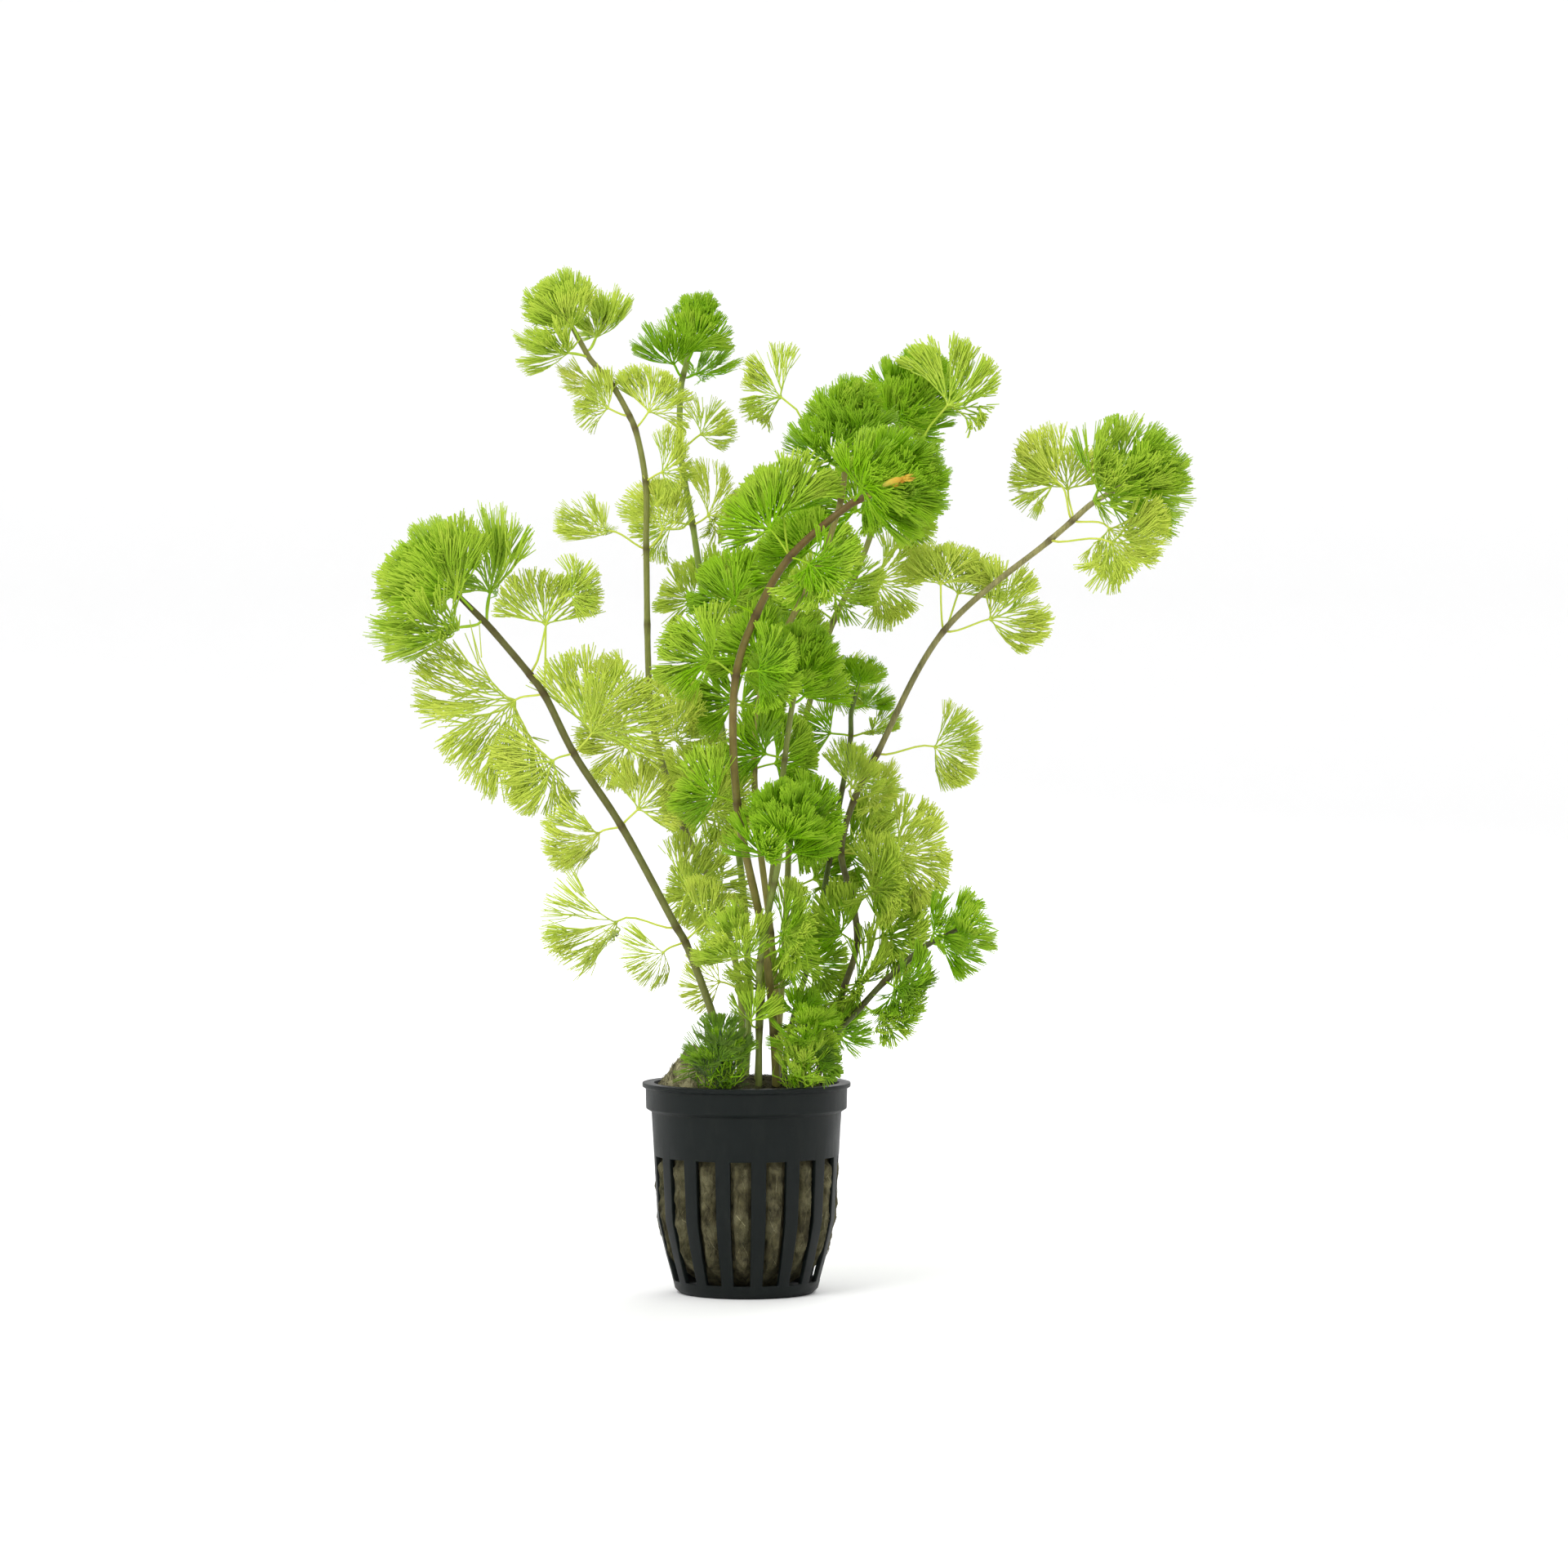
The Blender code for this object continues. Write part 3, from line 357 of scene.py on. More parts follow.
class Weaver:
    """Collects tubes into one mesh, with a tint at each point: its place along the leaf, how brown
    it is, and how deep its green is, which past 1.0 is painted shade; on the wool, painted shade
    and paleness."""

    def __init__(self):
        self.points, self.faces, self.tints = [], [], []

    def tube(self, line, radii, tints, sides=3, up=None, pointed=True, flat=1.0,
             open_foot=False):
        """A tube along a line. One corner of its section looks along up, flattened that way."""
        rings = []
        last = len(line) - 1
        across = None
        for i, place in enumerate(line[:-1] if pointed else line):
            tangent = (line[min(i + 1, last)] - line[max(i - 1, 0)]).normalized()
            base = up if across is None else across
            if base is None or abs(base.dot(tangent)) > 0.98:
                base = Vector((1, 0, 0)) if abs(tangent.x) < 0.7 else Vector((0, 1, 0))
            across = (base - tangent * base.dot(tangent)).normalized()
            other = tangent.cross(across)
            ring = []
            for k in range(sides):
                angle = math.tau * k / sides
                out = across * (flat * math.cos(angle)) + other * math.sin(angle)
                ring.append(len(self.points))
                self.points.append(place + out * radii[i])
                self.tints.append(tints[i])
            rings.append(ring)
        for low, high in itertools.pairwise(rings):
            for k in range(sides):
                j = (k + 1) % sides
                self.faces.append((low[k], low[j], high[j], high[k]))
        if not open_foot:
            self.faces.append(tuple(reversed(rings[0])))
        if pointed:
            end = len(self.points)
            self.points.append(line[-1])
            self.tints.append(tints[-1])
            self.faces += [(rings[-1][k], rings[-1][(k + 1) % sides], end) for k in range(sides)]
        else:
            self.faces.append(tuple(rings[-1]))

    def build(self, name, materials):
        mesh = bpy.data.meshes.new(name)
        mesh.from_pydata(self.points, [], self.faces)
        tint = mesh.color_attributes.new("tint", "FLOAT_COLOR", "POINT")
        tint.data.foreach_set("color", [n for t in self.tints for n in (*t, 1.0)])
        return link_mesh(name, mesh, materials)


# -------- fans of threads

FORK_SHARES = (0.15, 0.29, 0.43, 0.58, 0.75)  # how far out the forks are
THREAD_RADII = (0.25 * MM, 0.205 * MM, 0.185 * MM, 0.175 * MM, 0.175 * MM, 0.165 * MM)
GAP_SHARES = (0.08, 0.04, 0.0, -0.03, -0.05)  # between the threads of a fork
FULL_SIZE = 14.0 * MM  # a fan of this size has threads of the radii above
THICKNESS_RANGE = (0.78, 1.15)  # of the threads of small and large fans
THREAD_FLATNESS = 0.6
END_TAPER = 0.72
CURVED_LEVELS = 2  # threads past this many forks are short and straight
TRIPLE_SHARE = 0.27  # of the forks
TONE_SPREAD = 0.16  # of the green, from fan to fan

# How much the threads differ from one another.
FORK_ACROSS = 0.10
FORK_ALONG = (0.88, 1.12)
THREAD_ENDS = (0.92, 1.01)
THREAD_LIFT = 0.06
FIRST_LIFT = 2.6  # times as much for the first threads
CUT_SPREAD = 0.06
BEND = 0.26
BEND_CHANGE = 0.10
FIRST_GAPS = (0.02, 0.07)
EARLY_TURN = 1.7  # a thread turns early on its way, by this power

STALK_PARTS = 6
STALK_INTO_FAN = 0.6 * MM
STALK_SWELL = 0.25  # at its foot
STALK_BROWNING = 0.15


def weave_fan(weaver, fan, forks, primaries, chance, deep, thick=1.0):
    """Weaves a fan of forking threads. Deep says how deep its green is, and past 1.0 how much
    painted shade it has.
    """
    tone = chance.random()
    thick *= clamped(fan.size / FULL_SIZE, *THICKNESS_RANGE)

    def tint(share):
        return (share, 0.0, max(0.0, deep + TONE_SPREAD * (tone - 0.5)))

    def branch(level, share, angle, lift, low, high, sweep):
        """A thread from share and angle to the middle of low and high, and those past its fork."""
        last = level == forks
        middle = (low + high) / 2 + (high - low) * chance.uniform(-FORK_ACROSS, FORK_ACROSS)
        if last:
            end = chance.uniform(*THREAD_ENDS)
            reach = fan.rim_share(middle)
        else:
            end = FORK_SHARES[level] * chance.uniform(*FORK_ALONG)
            reach = 1.0 + (fan.rim_share(middle) - 1.0) * end
        more = FIRST_LIFT if level == 0 else 1.0
        end_lift = lift + chance.uniform(-THREAD_LIFT, THREAD_LIFT) * more
        steps = 2 if level < CURVED_LEVELS else 1
        start_reach = 1.0 + (fan.rim_share(angle) - 1.0) * share
        line = []
        for i in range(steps + 1):
            t = i / steps
            turn = 1 - (1 - t) ** EARLY_TURN
            out = share + (end - share) * t
            way = angle + (middle - angle) * turn + sweep * out * out
            reached = start_reach + (reach - start_reach) * t
            line.append(fan.point(out, way, lift + (end_lift - lift) * t, reached))
        radius = THREAD_RADII[level] * thick
        thin = radius * END_TAPER if last else THREAD_RADII[level + 1] * thick
        radii = [radius + (thin - radius) * i / steps for i in range(steps + 1)]
        tints = [tint(share + (end - share) * i / steps) for i in range(steps + 1)]
        weaver.tube(line, radii, tints, up=fan.normal, pointed=False, flat=THREAD_FLATNESS,
                    open_foot=True)
        if last:
            return
        count = 3 if chance.random() < TRIPLE_SHARE else 2
        cuts = [low]
        for k in range(1, count):
            cuts.append(low + (high - low) * (k / count + chance.uniform(-CUT_SPREAD, CUT_SPREAD)))
        cuts.append(high)
        gap = (high - low) * GAP_SHARES[level] / 2
        for a, b in itertools.pairwise(cuts):
            bend = sweep + chance.uniform(-BEND_CHANGE, BEND_CHANGE)
            branch(level + 1, end, middle, end_lift, a + gap, b - gap, bend)

    width = 2 * fan.half / primaries
    for k in range(primaries):
        low = -fan.half + width * k
        gap = width * chance.uniform(*FIRST_GAPS)
        bend = chance.uniform(-BEND, BEND)
        branch(0, 0.0, (low + width / 2) * 0.4, 0.0, low + gap, low + width - gap, bend)


def weave_stalk(weaver, start, leaving, fan, deep, brown, radius, share=0.0):
    """A stalk from a stem to the hub of a fan. Share is its tint's place along the leaf."""
    line = bent_line(start, leaving, fan.hub, fan.axis, STALK_PARTS)
    line.append(fan.hub + fan.axis * STALK_INTO_FAN)
    foot = [max(0.0, 1 - i / 2) for i in range(len(line))]
    radii = [radius * (1 + STALK_SWELL * near) for near in foot]
    tints = [(share, brown + STALK_BROWNING * near, deep) for near in foot]
    weaver.tube(line, radii, tints, sides=5, up=fan.normal, pointed=False)


# -------- materials


class Nodes:
    """A material's node tree, with short ways to add and link nodes."""

    def __init__(self, name):
        self.material = bpy.data.materials.new(name)
        self.material.use_nodes = True
        self.tree = self.material.node_tree
        self.shader = self.tree.nodes["Principled BSDF"]

    def add(self, kind, **values):
        node = self.tree.nodes.new(kind)
        for name, value in values.items():
            setattr(node, name, value)
        return node

    def put(self, socket, value):
        if isinstance(value, bpy.types.NodeSocket):
            self.tree.links.new(value, socket)
        else:
            socket.default_value = value

    def fill(self, node, **values):
        """Sets a node's inputs to values, or links them to outputs."""
        for name, value in values.items():
            self.put(node.inputs[name.replace("_", " ")], value)

    def noise(self, vector, scale, detail=3.0, rough=0.5):
        node = self.add("ShaderNodeTexNoise")
        self.fill(node, Vector=vector, Scale=scale, Detail=detail, Roughness=rough)
        return node.outputs["Fac"]

    def place(self, stretch=(1.0, 1.0, 1.0)):
        """The place on the object, with its axes scaled."""
        node = self.add("ShaderNodeMapping")
        place = self.add("ShaderNodeTexCoord").outputs["Object"]
        self.fill(node, Vector=place, Scale=stretch)
        return node.outputs["Vector"]

    def span(self, value, low, high, to_low=0.0, to_high=1.0):
        """A value from low to high brought to another range, and kept in it."""
        node = self.add("ShaderNodeMapRange")
        self.fill(node, Value=value, From_Min=low, From_Max=high, To_Min=to_low, To_Max=to_high)
        return node.outputs["Result"]

    def mix(self, share, a, b):
        """A colour between a and b."""
        node = self.add("ShaderNodeMix", data_type="RGBA")
        self.put(node.inputs[0], share)
        for socket, value in ((node.inputs[6], a), (node.inputs[7], b)):
            self.put(socket, value if isinstance(value, bpy.types.NodeSocket) else (*value, 1.0))
        return node.outputs[2]

    def math(self, operation, a, b):
        node = self.add("ShaderNodeMath", operation=operation)
        self.put(node.inputs[0], a)
        self.put(node.inputs[1], b)
        return node.outputs[0]

    def sum(self, a, b):
        return self.math("ADD", a, b)

    def product(self, a, b):
        return self.math("MULTIPLY", a, b)

    def tint(self):
        """The mesh's own tint: place along the leaf, browning, and depth of green, which past 1.0
        is painted shade; on the wool, painted shade and paleness.
        """
        node = self.add("ShaderNodeSeparateColor")
        tint = self.add("ShaderNodeAttribute", attribute_name="tint").outputs["Color"]
        self.put(node.inputs[0], tint)
        return node.outputs[0], node.outputs[1], node.outputs[2]

    def bump(self, height, strength, distance):
        node = self.add("ShaderNodeBump")
        self.fill(node, Strength=strength, Distance=distance, Height=height)
        self.shade(Normal=node.outputs["Normal"])

    def shade(self, **values):
        self.fill(self.shader, **values)


def leaf_material():
    """Thin green leaf: paler and yellower to the tips, deeper where the tint says so, and dark with
    painted shade where its depth passes 1.0.
    """
    m = Nodes("leaf_green")
    along, brown, deep = m.tint()
    patch = m.noise(m.place(), 120.0, 2.0)
    speck = m.noise(m.place(), 1400.0, 2.0)
    depth = m.sum(deep, m.span(patch, 0.3, 0.7, -0.14, 0.14))
    colour = m.mix(depth, LEAF_PALE, LEAF_DEEP)
    to_tip, less_deep = m.span(along, 0.55, 1.0, 0.0, 0.45), m.span(deep, 0.2, 1.0, 1.0, 0.45)
    colour = m.mix(m.product(to_tip, less_deep), colour, LEAF_TIP)
    # Painted shade: a leaf whose depth passes 1.0 turns dark olive.
    colour = m.mix(m.span(deep, 1.0, 1.3), colour, LEAF_PAINTED_SHADE)
    colour = m.mix(m.span(speck, 0.35, 0.75, 0.0, 0.18), colour, LEAF_DEEP)
    m.shade(Base_Color=m.mix(brown, colour, WILTED),
            Roughness=m.span(speck, 0.3, 0.7, 0.42, 0.60), Specular_IOR_Level=0.07)
    m.bump(speck, 0.25, 0.05 * MM)
    return m.material


def stem_material(name, low, high):
    """A stem's skin: one colour low and another high, fine streaks along it, and dark joints."""
    m = Nodes("stem_" + name)
    along, brown, _ = m.tint()
    streak = m.noise(m.place((1.0, 1.0, 0.15)), 2600.0, 3.0)
    patch = m.noise(m.place(), 260.0, 3.0)
    colour = m.mix(m.sum(along, m.span(patch, 0.3, 0.7, -0.2, 0.2)), low, high)
    colour = m.mix(m.span(streak, 0.4, 0.75, 0.0, 0.5), colour, tuple(0.45 * c for c in low))
    m.shade(Base_Color=m.mix(brown, colour, JOINT_BROWN),
            Roughness=m.span(patch, 0.3, 0.7, 0.38, 0.58), Specular_IOR_Level=0.25)
    m.bump(streak, 0.5, 0.1 * MM)
    return m.material


def wool_material():
    """Damp rock wool: beige and khaki fibre with painted shade in its hollows and on the right of
    its top, dry and pale at its tuft.
    """
    m = Nodes("rock_wool_fibre")
    _, top_shade, light = m.tint()
    streak = m.noise(m.place((1.0, 1.0, 0.28)), 900.0, 6.0, 0.65)
    patch = m.noise(m.place(), 190.0, 4.0, 0.6)
    fine = m.noise(m.place(), 3800.0, 4.0, 0.7)
    colour = m.mix(m.span(streak, 0.35, 0.66), WOOL_SHADE, WOOL_BEIGE)
    stain = m.noise(m.place(), 95.0, 2.0)
    colour = m.mix(m.span(stain, 0.45, 0.70, 0.0, 0.6), colour, WOOL_OLIVE)
    tuft = m.product(m.span(light, 0.9, 1.5, 0.0, 0.95), m.span(streak, 0.30, 0.60, 0.25, 1.0))
    dry = m.sum(m.product(m.span(patch, 0.45, 0.70, 0.0, 0.8), light), tuft)
    colour = m.mix(dry, colour, WOOL_DRY)
    colour = m.mix(m.span(fine, 0.45, 0.72, 0.0, 0.45), colour, WOOL_SPECK)
    # Painted shade darkens the right of the wool's top.
    m.shade(Base_Color=m.mix(top_shade, colour, WOOL_TOP_SHADE), Roughness=0.92, Specular_IOR_Level=0.2)
    m.bump(m.sum(streak, fine), 0.8, 0.6 * MM)
    return m.material


def pot_material():
    """Black moulded plastic with a satin skin, a little dust and a faint blue cast."""
    m = Nodes("pot_black_plastic")
    dust = m.noise(m.place((1.0, 1.0, 0.35)), 210.0, 5.0, 0.65)
    grain = m.noise(m.place(), 2600.0, 3.0)
    colour = m.mix(m.span(dust, 0.50, 0.80, 0.0, 0.30), POT_BLACK, POT_DUST)
    colour = m.mix(m.span(grain, 0.4, 0.8, 0.0, 0.25), colour, POT_GRAIN)
    dull = m.sum(m.span(dust, 0.3, 0.8, 0.38, 0.60), m.span(grain, 0.3, 0.7, -0.03, 0.03))
    m.shade(Base_Color=colour, Roughness=dull, Specular_IOR_Level=0.16)
    m.bump(grain, 0.18, 0.08 * MM)
    return m.material


LEAF = leaf_material()
WOOL = wool_material()
POT = pot_material()


# -------- stems

STEM_SIDES = 10
STEM_STEP = 1.4 * MM
RING_LEAST = 2.0 * MM  # between the rings that the line goes through
SLIM = 0.84  # a stem's skin is a little inside its solid
STEM_TAPER = 0.16  # over the whole stem
TIP_TAPER = 0.55  # and more over its tip
BUD_TAPER = 0.8  # just under the point of the bud
JOINT_SPACING = 24.0 * MM  # of the joints without leaves
JOINT_APART = 3.0 * MM  # leaves nearer than this stand on one joint
JOINT_HALF = 1.1 * MM
JOINT_SWELL = 0.13
JOINT_BROWNING = 0.7
WAVER = 0.05  # of a stem's width
WAVER_RATE = 160  # for each metre


def joints_of(name, line, along, feet):
    """How far along its stem each joint is: those that carry leaves, and bare ones between."""
    own = [node for node in leaf_shapes if node.rpartition("_")[0] == "leaf_" + name]
    found = []
    for foot in feet + [leaf_shapes[node][0] for node in own]:
        place = along[nearest_on(line, foot)]
        if all(abs(place - other) > JOINT_APART for other in found):
            found.append(place)
    found.sort()
    bare = []
    for a, b in itertools.pairwise([0.0, *found, along[-1]]):
        pieces = round((b - a) / JOINT_SPACING)
        bare += [a + (b - a) * k / pieces for k in range(1, pieces)]
    return sorted(found + bare)


def weave_stem(weaver, name, middles, bud, radius, pairs, feet):
    """The stem, tapering into its bud, swollen and dark at its joints. Returns its line."""
    line, along = smooth_line(spaced(middles, RING_LEAST) + [bud], STEM_STEP)
    tip_from = along[nearest_on(line, middles[-1 - 2 * pairs])]
    joints = joints_of(name, line, along, feet)
    phase = random.Random("stem " + name).uniform(0, 50)
    widths, tints = [], []
    for far in along:
        near = min((abs(far - joint) for joint in joints), default=1.0)
        share = max(0.0, (far - tip_from) / (along[-1] - tip_from))
        swell = math.exp(-((near / JOINT_HALF) ** 2)) * (1 - share)
        width = radius * SLIM * (1 - TIP_TAPER * share**1.5) * (1 - STEM_TAPER * far / along[-1])
        waver = WAVER * noise.noise(Vector((far * WAVER_RATE + phase, 0, 0)))
        widths.append(width * (1 + JOINT_SWELL * swell) * (1 + waver))
        tints.append((far / along[-1], JOINT_BROWNING * swell, 0.5))
    widths[-2] *= BUD_TAPER
    weaver.tube(line, widths, tints, sides=STEM_SIDES)
    return line


# -------- shoots and leaves

FULL_HALF = math.radians(73.0)  # fans that spread more are full-grown

# The dense middle of the plant in millimetres: height, x, and half its width.
DENSE_MIDDLE = ((60, 10, 17), (75, 26, 22), (85, 27, 27), (100, 11, 24), (115, 4, 20),
                (170, 5, 20), (190, 27, 19), (205, 30, 21), (220, 40, 10))
CROWDED_SHADE = 0.42  # painted shade, added to the depth of a leaf's green there
CROWDED_THICK = 0.52  # and to its threads
OPEN_THICK = 0.92  # threads of a leaf at the outside
OPEN_BELOW = 92.0 * MM  # leaves at the outside below this have a single fan
WISP_BELOW = 62.0 * MM  # leaves left of the middle below this have few threads
# Added to the depth of a wisp's green; past 1.0 that is painted shade.
WISP_DEEP = 0.7
BIG_FAN = 11.5 * MM
GREAT_FAN = 20.0 * MM
LEAF_STALK = 0.26 * MM
# A leaf's other fans: roll, pitch, size, first threads, and how much deeper the green is.
MORE_FANS = ((0.4, 0.12, 0.9, 4, 0.08), (-0.55, -0.16, 0.86, 3, 0.16))

CROWN_FANS = ((0.0, 0.0, 1.0), (0.5, 0.16, 0.93), (-0.45, -0.14, 0.90), (0.95, 0.05, 0.88))
FULL_CROWN = 13.4 * MM  # leaves of a crown from this size have a third fan
CROWN_STALK = 0.28 * MM
CROWN_THICK = 1.15
TUFT_SIZE = 9.2 * MM  # crowns with smaller leaves are tufts of fine threads
TUFT_THICK = 0.8
TUFT_STALK = 0.25 * MM
TUFT_DROPS = {"base_left": (3.5 * MM,), "base_right": (4.5 * MM, 8.0 * MM)}

FUZZ = ("base_left", "base_right")
FUZZ_THREADS = 420
FUZZ_ZONE = (50.0 * MM, 60.0 * MM)
FUZZ_SPREAD = (1.8, 1.2, 0.8)  # in millimetres
FUZZ_LENGTHS = (3.0, 6.5)
FUZZ_RADII = (0.15 * MM, 0.15 * MM, 0.10 * MM)

WILTED_SHOOT = "front_bent"
WILTED_FROM = 9  # points back from the tip of its line
WILTED_END = Vector((36.8, -58.0, 193.0)) * MM
WILTED_PARTS = 8  # of its stalk
WILTED_THREADS = 30
WILTED_RADII = (0.28 * MM, 0.36 * MM, 0.22 * MM)


def crowding(fan):
    """From 0 for a leaf at the outside of the plant to 1 in its dense middle."""
    height = clamped(fan.hub.z / MM, DENSE_MIDDLE[0][0], DENSE_MIDDLE[-1][0])
    for (z0, x0, half0), (z1, x1, half1) in itertools.pairwise(DENSE_MIDDLE):
        if height <= z1:
            share = (height - z0) / (z1 - z0)
            middle, half = x0 + (x1 - x0) * share, half0 + (half1 - half0) * share
            return clamped(1.3 - abs(fan.hub.x / MM - middle) / half)


def weave_leaf(weaver, line, foot, fan, chance, deep):
    """A full-grown leaf on a stem: its stalk, and one to three fans close together."""
    near = line[nearest_on(line, foot)]
    crowded = crowding(fan)
    # Painted shade: a leaf in the dense middle gets a deeper green.
    deep += CROWDED_SHADE * crowded
    thick = OPEN_THICK + (1.0 - OPEN_THICK + CROWDED_THICK) * crowded
    leaving = ((foot - near).normalized() + (fan.hub - near).normalized()) / 2
    weave_stalk(weaver, near, leaving, fan, deep, 0.08, LEAF_STALK)
    if fan.hub.z < WISP_BELOW and fan.hub.x < 0:
        weave_fan(weaver, fan, 3, 4, chance, deep + WISP_DEEP, thick)
        return
    weave_fan(weaver, fan, 5 if fan.size > BIG_FAN else 4, 5, chance, deep, thick)
    if fan.hub.z < OPEN_BELOW and not crowded:
        return
    side = chance.choice((-1, 1))
    count = 2 if crowded > 0.6 or fan.size > GREAT_FAN else 1
    for roll, pitch, size, primaries, deeper in MORE_FANS[:count]:
        twin = fan.turned(roll * side, pitch, size)
        weave_fan(weaver, twin, 4, primaries, chance, deep + deeper, thick)


def weave_crown_leaf(weaver, line, foot, fan, chance, crown_deep):
    """A leaf of a crown: two to four fans, close together on their own stalks."""
    near = line[nearest_on(line, foot)]
    leaving = (foot - near).normalized()
    crowded = crowding(fan)
    count = 2 + (fan.size > FULL_CROWN) + (crowded > 0.7 and fan.size > TUFT_SIZE)
    side = chance.choice((-1, 1))
    thick = TUFT_THICK if fan.size < TUFT_SIZE else CROWN_THICK + 0.2 * crowded
    for roll, pitch, size in CROWN_FANS[:count]:
        twin = fan.turned(side * roll, pitch, size)
        # Painted shade in the dense middle deepens a crown leaf's green too.
        deep = crown_deep + 0.5 * CROWDED_SHADE * crowded + chance.uniform(-0.12, 0.12)
        deep = min(max(crown_deep, 1.0), deep)
        weave_stalk(weaver, near, leaving, twin, deep, 0.0, CROWN_STALK, 0.2)
        weave_fan(weaver, twin, 4, 5, chance, deep, thick)


def weave_lower_tuft(weaver, line, fan, drop, chance, deep):
    """A copy of a tuft's fan lower on its shoot, turned at random."""
    lower = fan.turned(chance.uniform(-0.5, 0.5), chance.uniform(-0.6, -0.2), 0.95)
    lower.hub = fan.hub - Vector((0.0, 0.0, drop))
    near = line[nearest_on(line, lower.hub)]
    weave_stalk(weaver, near, Vector((0.0, 0.0, 1.0)), lower, deep, 0.0, TUFT_STALK)
    weave_fan(weaver, lower, 4, 4, chance, deep + chance.uniform(-0.2, 0.1), TUFT_THICK)


def weave_fuzz(weaver, line, chance, deep):
    """Short fine threads all round the foot of a low shoot."""
    low = [place for place in line if FUZZ_ZONE[0] < place.z < FUZZ_ZONE[1]]
    for _ in range(FUZZ_THREADS):
        turn, rise = chance.uniform(0, math.tau), math.radians(chance.uniform(15, 85))
        level = math.cos(rise)
        way = Vector((math.cos(turn) * level, math.sin(turn) * level, math.sin(rise)))
        root = chance.choice(low) + Vector([chance.gauss(0, far) for far in FUZZ_SPREAD]) * MM
        long = chance.uniform(*FUZZ_LENGTHS) * MM
        bend = Vector([chance.gauss(0, 0.18) for _ in range(3)]) * long
        thread = [root, root + way * long * 0.5 + bend, root + way * long]
        share = chance.uniform(0.1, 0.7)
        green = (share, 0.0, max(0.0, deep + chance.uniform(-0.45, 0.2)))
        weaver.tube(thread, FUZZ_RADII, [green] * 3, open_foot=True)


def weave_wilted_leaf(weaver, start, chance):
    """A shrunken orange young leaf at the front of a crown."""
    way = (WILTED_END - start).normalized()
    ahead = (way + Vector((1.0, 0.0, 0.1))).normalized()
    stalk = bent_line(start, way, WILTED_END, ahead, WILTED_PARTS)
    shares = [k / WILTED_PARTS for k in range(WILTED_PARTS + 1)]
    radii = [(0.50 + 0.24 * share) * MM for share in shares]
    tints = [(0.5, min(1.0, 0.36 + 1.6 * max(0.0, share - 0.6)), 0.0) for share in shares]
    weaver.tube(stalk, radii, tints, sides=6)
    for _ in range(WILTED_THREADS):
        root = stalk[-4].lerp(stalk[-1], chance.random())
        aside = Vector([chance.gauss(0, 1) for _ in range(3)])
        aside = (aside - ahead * aside.dot(ahead)).normalized() * chance.uniform(0.3, 1.1) * MM
        tip = root + ahead * chance.uniform(1.4, 3.2) * MM + aside
        middle = (root + tip) / 2 + aside * 0.35
        tint = (0.4, chance.uniform(0.75, 1.0), 0.1)
        weaver.tube([root, middle, tip], WILTED_RADII, [tint] * 3, sides=5)


def make_shoot(name):
    """A stem with its crown and the leaves that are part of its solid. Returns its line."""
    node = "shoot_" + name
    look = SHOOT_LOOKS[name]
    middles, bud, radius, leaves = read_shoot(node)
    full = [(foot, fan) for foot, fan in leaves if fan.half > FULL_HALF]
    crown = [(foot, fan) for foot, fan in leaves if fan.half <= FULL_HALF]
    weaver = Weaver()
    feet = [foot for foot, _ in full]
    line = weave_stem(weaver, name, middles, bud, radius, len(crown) // 2, feet)
    stem_faces = len(weaver.faces)
    chance = random.Random("crown " + name)
    for foot, fan in crown:
        weave_crown_leaf(weaver, line, foot, fan, chance, look.crown_deep)
        for drop in TUFT_DROPS.get(name, ()):
            weave_lower_tuft(weaver, line, fan, drop, chance, look.crown_deep)
    if name in FUZZ:
        weave_fuzz(weaver, line, chance, look.crown_deep)
    if name == WILTED_SHOOT:
        weave_wilted_leaf(weaver, line[-WILTED_FROM], chance)
    for foot, fan in full:
        deep = look.leaf_deep + chance.uniform(-0.10, 0.10)
        weave_leaf(weaver, line, foot, fan, chance, deep)
    stem = stem_material(name, look.stem_low, look.stem_high)
    obj = weaver.build(node + "_fine", [stem, LEAF])
    materials = [0] * stem_faces + [1] * (len(weaver.faces) - stem_faces)
    obj.data.polygons.foreach_set("material_index", materials)
    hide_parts(node)
    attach(obj, "root")
    return line


def make_leaf(node, shoot_lines):
    """A full-grown leaf with a solid of its own."""
    name = node.removeprefix("leaf_").rpartition("_")[0]
    foot, fan = leaf_shapes[node]
    chance = random.Random(node)
    weaver = Weaver()
    deep = SHOOT_LOOKS[name].leaf_deep + chance.uniform(-0.10, 0.10)
    weave_leaf(weaver, shoot_lines[name], foot, fan, chance, deep)
    obj = weaver.build(node + "_fine", [LEAF])
    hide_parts(node)
    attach(obj, "root")


# -------- pot

RIBS = 16
RIB_ANGLE = math.radians(9.5)
FIRST_RIB = math.radians(-82.0)
PITCH = math.tau / RIBS
POT_WALL = 1.2 * MM
POT_STEPS = 8  # round in each rib and in each slot
ROUNDING = 0.22 * MM
FLOOR_INSIDE = 15.5 * MM  # radius of the floor's inner edge
COLLAR_FROM = 22.9 * MM  # the collar and lip stand out from this radius
COLLAR_INSIDE = 22.2 * MM
LIP_RADIUS = 25.0  # in millimetres

